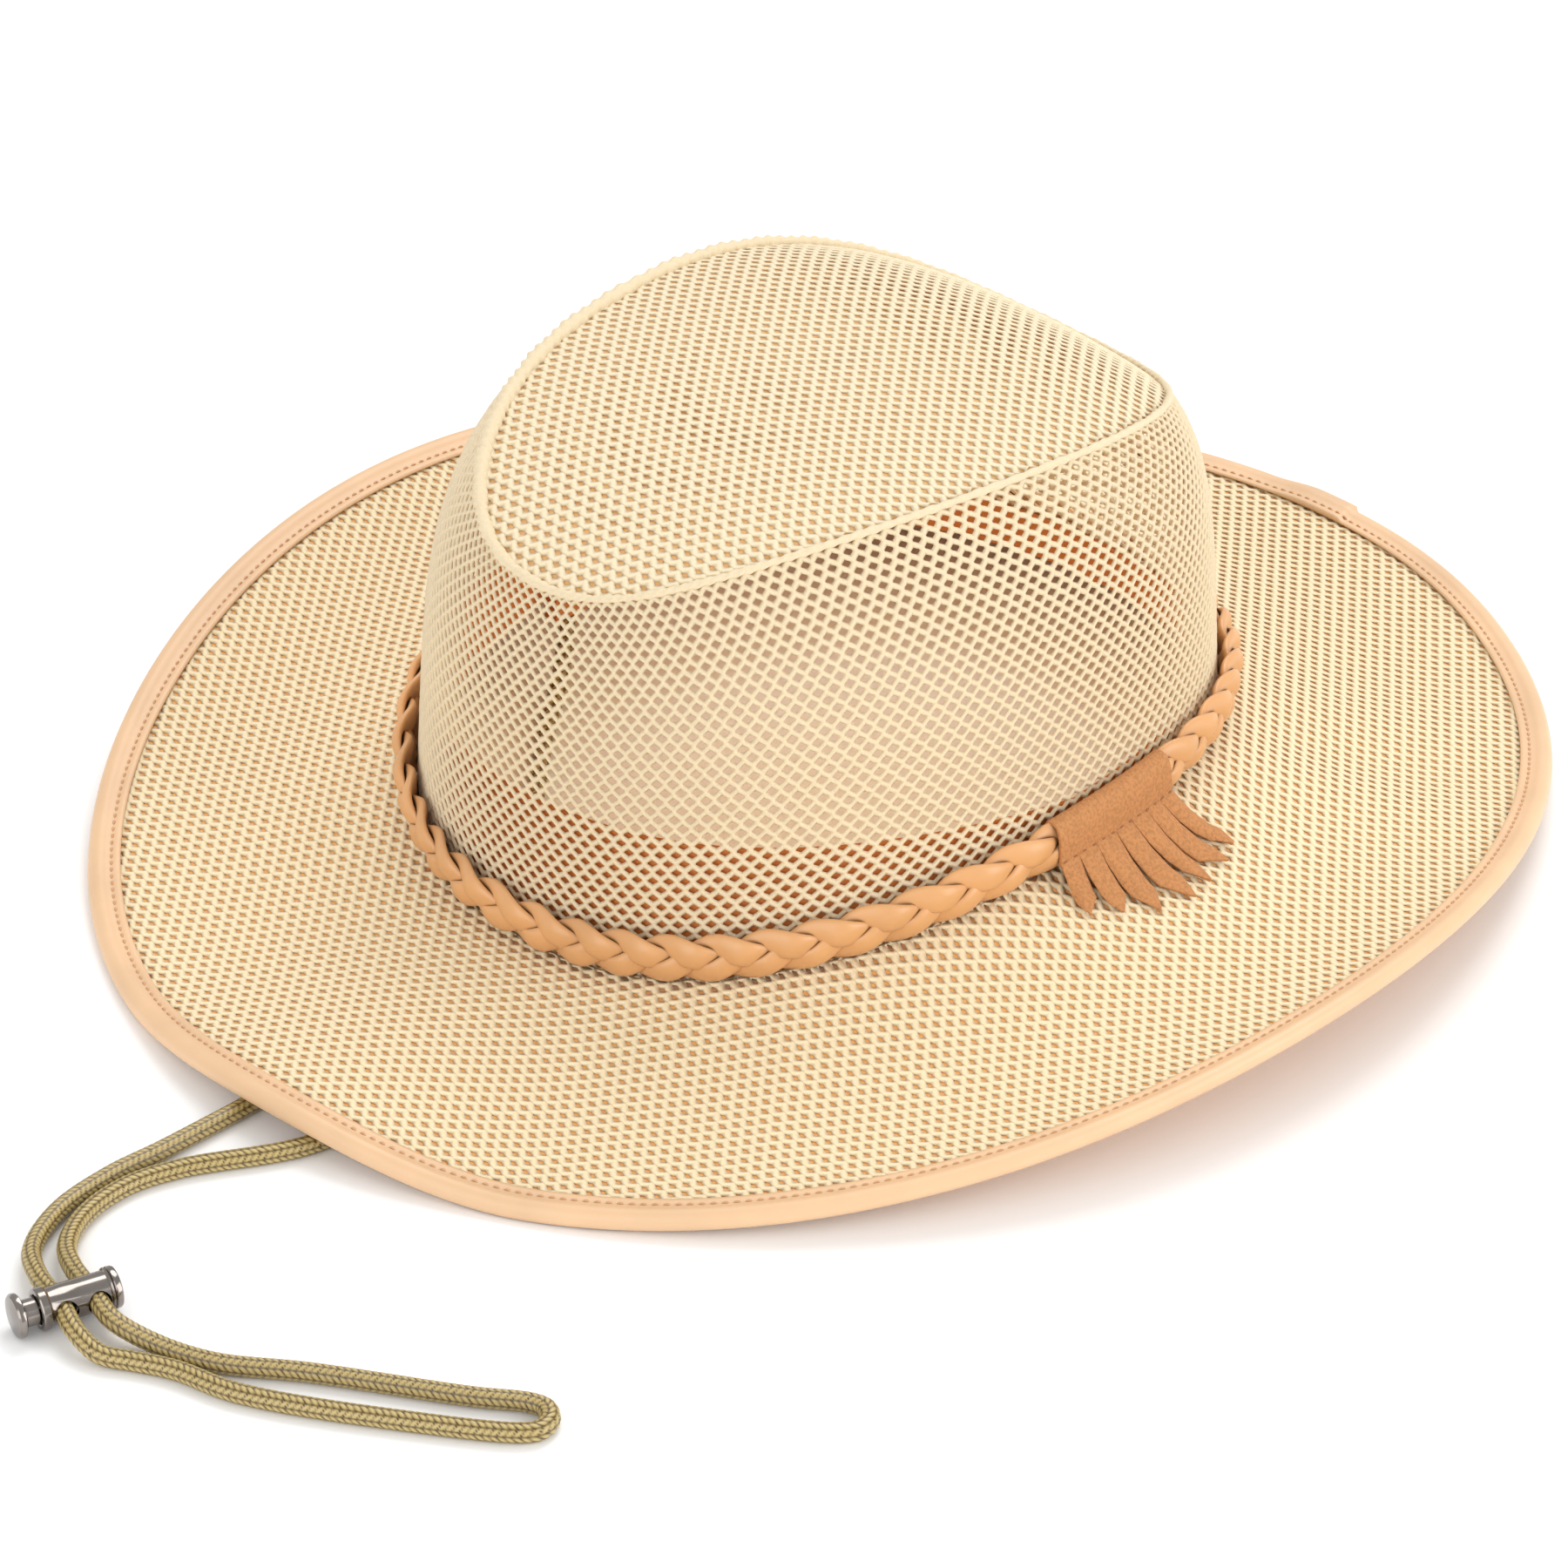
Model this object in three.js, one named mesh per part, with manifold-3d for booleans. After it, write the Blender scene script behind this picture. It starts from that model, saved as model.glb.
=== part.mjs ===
// Mesh sun hat with a leather braid and a chin cord, in millimetres, +Z up.
// The hat rests on its brim on the plane z = 0. Its front looks along -Y and
// the wearer's left side lies along +X. The origin is on the ground below the
// middle of the brim.
//
// An angle of 0 degrees on a ring is the wearer's left, 90 the front, 180 the
// right and 270 the back.

import * as THREE from "three";
import { mergeVertices } from "three/addons/utils/BufferGeometryUtils.js";
import Module from "manifold-3d";

const wasm = await Module();
wasm.setup();

const { cos, sin, abs, sign, max, min, hypot, PI } = Math;
const degrees = PI / 180;
const clearance = 0.3; // left between pieces that touch on the real hat

// Rings that shape the hat. Each is a rounded oval: half sizes, how far its
// middle lies from the origin, how much wider it is behind than in front, the
// power of the oval (2 is an ellipse), and the height with the part that rises
// in front, at both sides, and at the front, back and sides together. The edge
// is also drawn in behind the wearer's left side.
const rings = {
  edge: { halfLength: 185, halfWidth: 163, yShift: 0, backWider: 0.017, power: 2.0,
          height: 8.6, front: 0, sides: 9.4, quarters: 2.6,
          drawnIn: { depth: 4.8, at: -28 * degrees, reach: 58 * degrees } },
  foot: { halfLength: 99.4, halfWidth: 83.8, yShift: -3.3, backWider: -0.03, power: 2.16,
          height: 21.8, front: -4.9, sides: 7.0, quarters: 0.3 },
  seam: { halfLength: 87.5, halfWidth: 61.5, yShift: -8.2, backWider: 0.16, power: 2.3,
          height: 108.5, front: 2.4, sides: 9.2, quarters: -0.6 },
};

// Brim
const brimThickness = 1.8;
const brimSideDip = 5; // how far the brim sags between crown and edge at the sides
const restHeight = 2.1; // middle of the edge where the brim rests
const pressedFlat = 0.3; // leather closer to the ground than this is flat on it
const cordLift = 6.0; // the front edge is propped up where the cord runs under it
const cordLiftAngle = 86.6 * degrees;
const cordLiftReach = 17.5 * degrees; // to each side of that angle

// Crown
const wallThickness = 1.4;
const wallLean = 0.3; // share of the wall's inward lean that is spread evenly
const wallCurl = 5; // power of the rest, which comes near the seam
const seamRidge = 1.1; // half thickness of the sewn ridge at the seam
const topThickness = 1.6;
const topPeak = { x: 0, y: 4, z: 121 };
const topFullness = 3; // power of the panel's dome
const sweatbandThickness = 1.2;
const sweatbandTall = 38; // above the brim, in front
const sweatbandLow = 11; // above the brim, at the sides and behind

// Binding of the brim's edge
const bindingWidth = 8.5;
const bindingLeaf = 0.8;
const lap = { from: 259 * degrees, to: 266 * degrees, rise: 0.5 };

// Braid round the crown's foot, plaited from three flat thongs
const braid = {
  periods: 17, steps: 8, swing: 3.8, weave: 2.0, width: 4.3, thickness: 1.6, fromWall: 4.0, aboveBrim: 7.4,
};

// Fringe: a suede wrap over the braid at the wearer's left, with cut tails.
// The path gives how far the suede lies out from the wall and above the brim.
const suede = 1.3;
const wrap = { from: 8.4 * degrees, to: -12.6 * degrees };
const wrapPath = [
  { out: 1.7, above: 14.4 },
  { out: 4.2, above: 15.0 },
  { out: 6.8, above: 13.6 },
  { out: 7.9, above: 10.6 },
  { out: 8.1, above: 6.8 },
  { out: 8.1, above: 3.0 },
];
// How a tail runs from the wrap to its tip: share of the way, height above
// the brim's middle, share of the turn from its root to its tip, share of its
// width, and how far its middle lies back, in widths
const tailWidth = 5.0;
const tailPath = [
  { share: 0, above: 7.0, turn: 0, wide: 1, back: 0 },
  { share: 0.03, above: 4.0, turn: 0, wide: 1, back: 0 },
  { share: 0.2, above: 3.2, turn: 0.15, wide: 1, back: 0 },
  { share: 0.5, above: 2.6, turn: 0.45, wide: 1, back: 0 },
  { share: 0.8, above: 2.8, turn: 0.85, wide: 0.95, back: 0 },
  { share: 1, above: 3.2, turn: 1, wide: 0.24, back: 0.2 },
];
// Each tail: degrees round the brim at its root and at its tip, and how far
// its tip lies out from the wall
const tails = [
  { root: 6.6, tip: 8.4, reach: 19.5 },
  { root: 3.7, tip: 5.5, reach: 24 },
  { root: 0.8, tip: 2.2, reach: 27.5 },
  { root: -2.1, tip: -2.0, reach: 29 },
  { root: -5.0, tip: -5.8, reach: 28 },
  { root: -7.9, tip: -9.8, reach: 25 },
  { root: -10.8, tip: -13.0, reach: 21.5 },
];

// Cord lock: a barrel with two cross holes and a sprung fork in its bore
const lock = {
  x: 31.2, y: -256.8, z: 5.2, turn: 73.1 * degrees,
  halfLength: 9.2, bodyRadius: 4.2, collarRadius: 4.7, collarLength: 1.8, edge: 0.4,
  boreRadius: 3.35, endWall: 1.5, holeRadius: 2.7, holeOffset: 3.75, travel: 3,
};
const fork = { radius: 3.05, slotWidth: 5.2, prongEnd: 4.2, discRadius: 5.0, discLength: 2.3, edge: 0.4 };

// Chin cord, from the right anchor down to the ground, forward under the
// brim, through the lock, round the loop and back to the left anchor.
const cordRadius = 2.25;
const cordSides = 8;
const cordSteps = 76;
const anchor = { x: 78.2, y: -13.3, top: 34, bottom: 23, thickness: 4.2, width: 12 };
const cordRoute = [
  [-78.2, -13.3, 22], [-76.2, -18.5, 6], [-68, -30, 2.35], [-26, -78, 2.35], [-10, -108, 2.35],
  [-0.4, -162, 2.35], [0.4, -206, 2.35], [-0.4, -222, 2.35], [1.8, -238, 2.5], [10, -252, 3.6],
  [20.2, -258, 5], [30.1, -260.4, 5.2], [39.6, -263.8, 4.6], [47, -263.6, 2.9], [53.4, -259.6, 2.35],
  [61.6, -255.2, 2.35], [76.8, -250.6, 2.35], [108.8, -230.8, 2.35], [127.4, -216.6, 2.35],
  [129.2, -213.3, 2.35], [128.2, -209.6, 2.35], [124.9, -207.8, 2.35], [121.2, -208.8, 2.35],
  [111.4, -216.1, 2.35], [81.6, -235.5, 2.35], [66, -247.2, 2.35], [53.5, -252.5, 2.7],
  [41.6, -255.6, 4.6], [32.3, -253.2, 5.2], [22.4, -250.6, 4.9], [14, -245.6, 3.4], [6.9, -235.2, 2.4],
  [5, -222, 2.35], [8.2, -209.5, 2.35], [20.9, -184.5, 2.35], [24, -162, 2.35], [32, -108, 2.35],
  [70, -30, 2.35], [77.3, -18.5, 6.5], [78.2, -13.3, 22],
];

const colours = {
  crown_mesh: { color: 0xf2dca4, roughness: 0.85, metalness: 0 },
  brim_mesh: { color: 0xe8c890, roughness: 0.85, metalness: 0 },
  binding_leather: { color: 0xeabf92, roughness: 0.5, metalness: 0 },
  braid_leather: { color: 0xdfa873, roughness: 0.45, metalness: 0 },
  brown_leather: { color: 0x9c5f33, roughness: 0.7, metalness: 0 },
  suede: { color: 0xcb925c, roughness: 0.95, metalness: 0 },
  cord: { color: 0xa8985f, roughness: 0.8, metalness: 0 },
  gunmetal: { color: 0x6d6863, roughness: 0.25, metalness: 1 },
};

const crownSegments = 60; // faces round the crown
const brimSegments = 72; // faces round the brim

// Point of a ring at an angle, with its height
function ringPoint(ring, angle) {
  const c = cos(angle);
  const s = sin(angle);
  const y = -ring.halfLength * sign(s) * abs(s) ** (2 / ring.power);
  const wider = 1 + ring.backWider * y / ring.halfLength;
  const x = ring.halfWidth * sign(c) * abs(c) ** (2 / ring.power) * wider;
  const z = ring.height + ring.front * s + ring.sides * cos(2 * angle) + ring.quarters * cos(4 * angle);
  const kept = ring.drawnIn ? 1 - drawnInBy(ring.drawnIn, angle) / hypot(x, y) : 1;
  return new THREE.Vector3(x * kept, y * kept + ring.yShift, z);
}

// How far a ring is drawn in at an angle
function drawnInBy({ depth, at, reach }, angle) {
  const share = max(cos(angle - at) - cos(reach), 0) / (1 - cos(reach));
  return depth * share ** 2;
}

// Level direction that points out of a ring at an angle
function ringNormal(ring, angle) {
  const before = ringPoint(ring, angle - 0.01);
  const after = ringPoint(ring, angle + 0.01);
  const along = after.sub(before).setZ(0).normalize();
  return new THREE.Vector3(-along.y, along.x, 0);
}

// Point of the crown's side wall: part 0 is the brim, 1 the seam
function wallPoint(part, angle, outward, lift = 0) {
  const foot = ringPoint(rings.foot, angle);
  const seam = ringPoint(rings.seam, angle);
  const lean = wallLean * part + (1 - wallLean) * max(part, 0) ** wallCurl;
  const height = foot.z + (seam.z - foot.z) * part + lift;
  const point = foot.clone().lerp(seam, lean);
  const normal = ringNormal(rings.foot, angle).lerp(ringNormal(rings.seam, angle), part).normalize();
  return point.addScaledVector(normal, outward).setZ(height);
}

// Height of the brim's edge: it rests in front and behind, curls up at the
// sides and rides over the cord
function edgeHeight(angle) {
  const free = max(ringPoint(rings.edge, angle).z, restHeight);
  const share = min(abs(angle - cordLiftAngle) / cordLiftReach, 1);
  return free + cordLift * cos(share * PI / 2) ** 2;
}

// Where the brim meets the outside of the crown's wall
function brimInner(angle) {
  return ringPoint(rings.foot, angle).addScaledVector(ringNormal(rings.foot, angle), wallThickness / 2);
}

function brimWidth(angle) {
  const edge = ringPoint(rings.edge, angle);
  const inner = brimInner(angle);
  return hypot(edge.x - inner.x, edge.y - inner.y);
}

// Point of the brim at a distance in from its edge, above or below its middle
function brimPoint(fromEdge, angle, above) {
  const edge = ringPoint(rings.edge, angle);
  const inner = brimInner(angle);
  const part = 1 - fromEdge / brimWidth(angle);
  const level = part * (2 - part);
  const dip = brimSideDip * max(cos(2 * angle), 0) * 4 * part * (1 - part);
  const height = inner.z * (1 - level) + edgeHeight(angle) * level - dip + above;
  return inner.lerp(edge, part).setZ(height < pressedFlat ? 0 : height);
}

// Point of the top panel: part 0 is its rim at the seam, 1 its peak
function topPoint(part, angle, above) {
  const rim = ringPoint(rings.seam, angle);
  rim.addScaledVector(ringNormal(rings.seam, angle), -(seamRidge + clearance));
  const left = 1 - part;
  const x = topPeak.x + (rim.x - topPeak.x) * left;
  const y = topPeak.y + (rim.y - topPeak.y) * left;
  const z = topPeak.z + (rim.z - topPeak.z) * left ** topFullness;
  return new THREE.Vector3(x, y, z + above);
}

// Turns a geometry's faces out, joins its vertices and drops flat triangles
function closedBody(geometry) {
  geometry.deleteAttribute("normal");
  geometry.deleteAttribute("uv");
  const merged = mergeVertices(geometry, 1e-3);
  const position = merged.getAttribute("position");
  const corner = (index) => new THREE.Vector3().fromBufferAttribute(position, index);
  const faces = [];
  let volume = 0;
  for (let i = 0; i < merged.index.count; i += 3) {
    const [a, b, c] = [0, 1, 2].map((k) => merged.index.getX(i + k));
    if (a === b || b === c || c === a) continue;
    faces.push([a, b, c]);
    volume += corner(a).dot(corner(b).cross(corner(c)));
  }
  merged.setIndex(faces.flatMap(([a, b, c]) => (volume > 0 ? [a, b, c] : [a, c, b])));
  merged.computeVertexNormals();
  return merged;
}

// A lathe round the hat whose section is carried from ring to ring: place
// gives the point of each section row at each angle
function ringBody(rows, steps, place) {
  const profile = rows.map(() => new THREE.Vector2(1, 0));
  profile.push(new THREE.Vector2(1, 0));
  const geometry = new THREE.LatheGeometry(profile, steps);
  const position = geometry.getAttribute("position");
  for (let i = 0; i <= steps; i += 1) {
    const angle = (i % steps) * 2 * PI / steps;
    for (let j = 0; j < profile.length; j += 1) {
      const point = place(angle, rows[j % rows.length]);
      position.setXYZ(i * profile.length + j, point.x, point.y, point.z);
    }
  }
  return closedBody(geometry);
}

function toSolid(geometry) {
  const clean = closedBody(geometry);
  return new wasm.Manifold(new wasm.Mesh({
    numProp: 3,
    vertProperties: new Float32Array(clean.getAttribute("position").array),
    triVerts: new Uint32Array(clean.index.array),
  }));
}

function fromSolid(solid) {
  const mesh = solid.getMesh();
  const geometry = new THREE.BufferGeometry();
  geometry.setAttribute("position", new THREE.BufferAttribute(new Float32Array(mesh.vertProperties), 3));
  geometry.setIndex(new THREE.BufferAttribute(new Uint32Array(mesh.triVerts), 1));
  geometry.computeVertexNormals();
  return geometry;
}

// Side wall with the folded ridge of its seam
function crownSide() {
  const half = wallThickness / 2;
  const climb = [-0.01, 0.4, 0.66, 0.83, 0.94];
  const outside = climb.map((part) => ({ part, outward: half, lift: 0 }));
  const inside = climb.map((part) => ({ part, outward: -half, lift: 0 })).reverse();
  const ridge = [
    { part: 1, outward: seamRidge, lift: 0 },
    { part: 1, outward: 0, lift: seamRidge },
    { part: 1, outward: -seamRidge, lift: 0 },
  ];
  return ringBody([...outside, ...ridge, ...inside], crownSegments, (angle, row) =>
    wallPoint(row.part, angle, row.outward, row.lift));
}

// Domed top panel, a lathe from its rim to its peak and back
function crownTop() {
  const half = topThickness / 2;
  const parts = [0, 0.1, 0.26, 0.52, 1];
  const upper = parts.map((part) => ({ part, above: half }));
  const lower = parts.map((part) => ({ part, above: -half })).reverse();
  return ringBody([...upper, ...lower], crownSegments, (angle, row) =>
    topPoint(row.part, angle, row.above));
}

function brimPanel() {
  const half = brimThickness / 2;
  const outerStop = 2 * clearance;
  const shares = [1, 0.66, 0.32, 0];
  const inward = [...shares.map((share) => ({ share })), { share: 0, atEdge: true }];
  const upper = inward.map((row) => ({ ...row, above: half }));
  const lower = inward.map((row) => ({ ...row, above: -half })).reverse();
  return ringBody([...upper, ...lower], brimSegments, (angle, row) => {
    const reach = brimWidth(angle) - 2 * clearance;
    const fromEdge = row.atEdge ? outerStop : bindingWidth + (reach - bindingWidth) * row.share;
    return brimPoint(fromEdge, angle, row.above);
  });
}

// Leather folded round the brim's edge, with a rolled outer edge and the
// step of its overlap behind
function brimBinding() {
  const gap = brimThickness / 2 + clearance;
  const outer = gap + bindingLeaf;
  const rows = [
    { fromEdge: bindingWidth - 2.1, above: gap },
    { fromEdge: 0.3, above: gap },
    { fromEdge: 0.3, above: -gap },
    { fromEdge: bindingWidth - 2.1, above: -gap },
    { fromEdge: bindingWidth - 2.1, above: -outer },
    { fromEdge: 0, above: -outer },
    { fromEdge: -1.6, above: -outer * 0.55 },
    { fromEdge: -2.1, above: 0 },
    { fromEdge: -1.6, above: outer * 0.55 },
    { fromEdge: 0, above: outer },
    { fromEdge: bindingWidth - 2.1, above: outer },
  ];
  return ringBody(rows, brimSegments, (angle, row) => {
    const lapped = angle > lap.from && angle < lap.to && row.above === outer;
    return brimPoint(row.fromEdge, angle, row.above + (lapped ? lap.rise : 0));
  });
}

// How tall the sweatband stands above the brim: tall in front, low elsewhere
function sweatbandHeight(angle) {
  return sweatbandLow + (sweatbandTall - sweatbandLow) * max(sin(angle), 0);
}

function sweatband() {
  const outside = -(wallThickness / 2 + clearance);
  const inside = outside - sweatbandThickness;
  const rows = [
    { top: false, outward: outside },
    { top: true, outward: outside },
    { top: true, outward: inside },
    { top: false, outward: inside },
  ];
  return ringBody(rows, crownSegments, (angle, row) => {
    const tall = ringPoint(rings.seam, angle).z - ringPoint(rings.foot, angle).z;
    return wallPoint(row.top ? sweatbandHeight(angle) / tall : -0.01, angle, row.outward);
  });
}

// One thong of the plait. It swings up and down across the band once in each
// period and in and out twice, a third of a period from its neighbours.
function braidStrand(number) {
  const { periods, steps, swing, weave, width, thickness, fromWall, aboveBrim } = braid;
  const across = [[-width / 2, 0], [0, -thickness / 2], [width / 2, 0], [0, thickness / 2]];
  const start = number * 2 * PI / 3;
  const perimeter = 2 * PI * (rings.foot.halfLength + rings.foot.halfWidth + 2 * fromWall) / 2;
  return ringBody(across, periods * steps, (angle, [wide, thick]) => {
    const phase = periods * angle + start;
    const slope = Math.atan(swing * periods * 2 * PI / perimeter * cos(phase));
    const up = swing * sin(phase) + wide * cos(slope);
    const back = -wide * sin(slope) * 2 * PI / perimeter;
    const out = fromWall + weave * sin(2 * phase) + thick;
    return wallPoint(0, angle + back, out, aboveBrim + up);
  });
}

// A bent sheet: place gives the point for the share along, the share down and
// the side, from -0.5 to 0.5, of its thickness
function sheetBody(columns, rows, place) {
  const geometry = new THREE.BoxGeometry(1, 1, 1, columns, rows, 1);
  const position = geometry.getAttribute("position");
  for (let i = 0; i < position.count; i += 1) {
    const point = place(position.getX(i) + 0.5, position.getY(i) + 0.5, position.getZ(i));
    position.setXYZ(i, point.x, point.y, point.z);
  }
  return closedBody(geometry);
}

// Point and slope of a path of {out, above} stops at a share of its stops
function pathPoint(path, share) {
  const place = share * (path.length - 1);
  const stop = min(Math.floor(place), path.length - 2);
  const [a, b] = [path[stop], path[stop + 1]];
  const out = a.out + (b.out - a.out) * (place - stop);
  const above = a.above + (b.above - a.above) * (place - stop);
  const before = path[max(Math.round(place) - 1, 0)];
  const after = path[min(Math.round(place) + 1, path.length - 1)];
  const length = hypot(after.out - before.out, after.above - before.above);
  const alongOut = (after.out - before.out) / length;
  const alongUp = (after.above - before.above) / length;
  return { out, above, alongOut, alongUp };
}

function fringeWrap() {
  return sheetBody(5, wrapPath.length - 1, (along, down, side) => {
    const angle = wrap.from + (wrap.to - wrap.from) * along;
    const { out, above, alongOut, alongUp } = pathPoint(wrapPath, down);
    return wallPoint(0, angle, out - alongUp * side * suede, above + alongOut * side * suede);
  });
}

// A tail leaves the wrap, bends down to the brim and lies on it to its tip
function fringeTail({ root, tip, reach }) {
  const start = wrapPath[wrapPath.length - 1].out;
  const path = tailPath.map((stop) => ({ ...stop, out: start + (reach - start) * stop.share }));
  return sheetBody(1, path.length - 1, (along, down, side) => {
    const stop = path[Math.round(down * (path.length - 1))];
    const { alongOut, alongUp } = pathPoint(path, down);
    const angle = (root + (tip - root) * stop.turn) * degrees;
    const out = stop.out - alongUp * side * suede;
    const above = stop.above + alongOut * side * suede;
    const point = brimPoint(brimWidth(angle) - out + wallThickness / 2, angle, above);
    point.y += ((along - 0.5) * stop.wide + stop.back) * tailWidth;
    return point;
  });
}

function suedeFringe() {
  const start = toSolid(fringeWrap());
  return fromSolid(tails.reduce((solid, tail) => solid.add(toSolid(fringeTail(tail))), start));
}

// A curve through the cord's points that never dips into the ground
class CordPath extends THREE.CatmullRomCurve3 {
  getPoint(share, target) {
    const point = super.getPoint(share, target);
    return point.setZ(max(point.z, cordRadius + 0.1));
  }
}

function chinCord() {
  const path = new CordPath(cordRoute.map((point) => new THREE.Vector3(...point)));
  path.arcLengthDivisions = 2000;
  const section = new THREE.Shape();
  for (let i = 0; i < cordSides; i += 1) {
    const turn = (i + 0.5) * 2 * PI / cordSides;
    const corner = [cordRadius * cos(turn), cordRadius * sin(turn)];
    if (i === 0) section.moveTo(...corner);
    else section.lineTo(...corner);
  }
  section.closePath();
  return closedBody(new THREE.ExtrudeGeometry(section, { steps: cordSteps, extrudePath: path }));
}

// Leather tab that holds an end of the cord inside the crown
function cordAnchor(sideX) {
  const tab = new THREE.BoxGeometry(anchor.thickness, anchor.width, anchor.top - anchor.bottom);
  tab.translate(sideX, anchor.y, (anchor.top + anchor.bottom) / 2);
  return closedBody(tab);
}

// Barrel along its own Y axis, closed at its far end, with two cross holes
function lockBarrel() {
  const { halfLength, bodyRadius, collarRadius, collarLength, edge, boreRadius, endWall } = lock;
  const profile = [
    [0, halfLength], [collarRadius - edge, halfLength], [collarRadius, halfLength - edge],
    [collarRadius, halfLength - collarLength], [bodyRadius, halfLength - collarLength - edge],
    [bodyRadius, -halfLength + collarLength + edge], [collarRadius, -halfLength + collarLength],
    [collarRadius, -halfLength], [boreRadius, -halfLength],
    [boreRadius, halfLength - endWall], [0, halfLength - endWall],
  ].map(([radius, y]) => new THREE.Vector2(radius, y));
  const body = toSolid(new THREE.LatheGeometry(profile, 20));
  const drilled = [-1, 1].reduce((solid, hand) => {
    const drill = new THREE.CylinderGeometry(lock.holeRadius, lock.holeRadius, 3 * collarRadius, 12);
    drill.rotateZ(PI / 2);
    drill.translate(0, hand * lock.holeOffset, 0);
    return solid.subtract(toSolid(drill));
  }, body);
  return fromSolid(drilled);
}

// Plunger: a disc button, its neck and a fork that straddles both strands
function lockPlunger() {
  const discTop = -lock.halfLength - lock.travel - clearance;
  const discEnd = discTop - fork.discLength;
  const profile = [
    [0, discEnd], [fork.discRadius - fork.edge, discEnd], [fork.discRadius, discEnd + fork.edge],
    [fork.discRadius, discTop - fork.edge], [fork.discRadius - fork.edge, discTop],
    [fork.radius, discTop], [fork.radius, fork.prongEnd], [0, fork.prongEnd],
  ].map(([radius, y]) => new THREE.Vector2(radius, y));
  const slotStart = -lock.holeOffset - lock.holeRadius - lock.travel;
  const slotLength = fork.prongEnd - slotStart + 1;
  const slot = new THREE.BoxGeometry(3 * fork.radius, slotLength, fork.slotWidth);
  slot.translate(0, slotStart + slotLength / 2, 0);
  return fromSolid(toSolid(new THREE.LatheGeometry(profile, 20)).subtract(toSolid(slot)));
}

function piece(name, geometry, colour) {
  const mesh = new THREE.Mesh(geometry, new THREE.MeshStandardMaterial(colours[colour]));
  mesh.name = name;
  return mesh;
}

const crown = new THREE.Group();
crown.add(
  piece("crown_side", crownSide(), "crown_mesh"),
  piece("crown_top", crownTop(), "crown_mesh"),
  piece("sweatband", sweatband(), "brown_leather"),
);

const brim = new THREE.Group();
brim.add(
  piece("brim", brimPanel(), "brim_mesh"),
  piece("brim_binding", brimBinding(), "binding_leather"),
);

const hatband = new THREE.Group();
hatband.add(
  ...[1, 2, 3].map((number) => piece(`braid_strand_${number}`, braidStrand(number), "braid_leather")),
  piece("suede_fringe", suedeFringe(), "suede"),
);

const cordLock = new THREE.Group();
cordLock.position.set(lock.x, lock.y, lock.z);
cordLock.rotation.z = lock.turn - PI / 2;
cordLock.add(
  piece("cord_lock_barrel", lockBarrel(), "gunmetal"),
  piece("cord_lock_plunger", lockPlunger(), "gunmetal"),
);

const chinStrap = new THREE.Group();
chinStrap.add(
  piece("cord_anchor_left", cordAnchor(anchor.x), "brown_leather"),
  piece("cord_anchor_right", cordAnchor(-anchor.x), "brown_leather"),
  piece("chin_cord", chinCord(), "cord"),
  cordLock,
);

const hat = new THREE.Group();
hat.add(crown, brim, hatband, chinStrap);

export default hat;
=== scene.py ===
# Mesh sun hat with a leather braid, a suede fringe and a chin cord.
# Metres, +Z up. The front of the hat looks along -Y and the wearer's left lies
# along +X. An angle of 0 degrees on a ring is the wearer's left, 90 the front,
# 180 the right and 270 the back.

import math

import bpy
import numpy as np
from bpy.props import FloatProperty, FloatVectorProperty, IntProperty, PointerProperty
from mathutils import Matrix, Vector


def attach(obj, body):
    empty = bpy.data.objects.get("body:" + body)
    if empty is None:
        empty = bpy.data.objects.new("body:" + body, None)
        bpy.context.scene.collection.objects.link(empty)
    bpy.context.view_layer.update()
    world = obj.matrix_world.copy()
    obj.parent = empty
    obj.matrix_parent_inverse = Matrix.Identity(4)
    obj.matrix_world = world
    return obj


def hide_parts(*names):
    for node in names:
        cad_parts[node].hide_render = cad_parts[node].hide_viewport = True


bl_info = {
    "name": "Mesh sun hat",
    "version": (1, 0, 0),
    "blender": (4, 5, 0),
    "location": "3D View > Sidebar > Sun hat",
    "description": "Builds a mesh sun hat with its leather trim and chin cord",
    "category": "Object",
}

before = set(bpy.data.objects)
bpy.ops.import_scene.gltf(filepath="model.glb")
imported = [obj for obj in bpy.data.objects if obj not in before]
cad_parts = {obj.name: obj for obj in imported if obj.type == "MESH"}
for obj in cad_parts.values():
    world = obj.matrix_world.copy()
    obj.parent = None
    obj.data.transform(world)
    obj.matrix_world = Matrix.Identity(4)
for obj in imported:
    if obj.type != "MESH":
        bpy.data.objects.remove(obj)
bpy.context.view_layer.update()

MM = 0.001
TURN = 2 * math.pi
BODY = "hat"
PLUNGER_BODY = "lock_plunger"

# Rings that shape the hat: rounded ovals with their height
EDGE = dict(half_length=0.185, half_width=0.163, y_shift=0.0, back_wider=0.017, power=2.0,
            height=0.0086, front=0.0, sides=0.0094, quarters=0.0026, drawn_in=0.0048)
DRAWN_IN_AT = math.radians(-28)
DRAWN_IN_REACH = math.radians(58)
FOOT = dict(half_length=0.0994, half_width=0.0838, y_shift=-0.0033, back_wider=-0.03, power=2.16,
            height=0.0218, front=-0.0049, sides=0.007, quarters=0.0003)
SEAM = dict(half_length=0.0875, half_width=0.0615, y_shift=-0.0082, back_wider=0.16, power=2.3,
            height=0.1085, front=0.0024, sides=0.0092, quarters=-0.0006)

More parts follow.
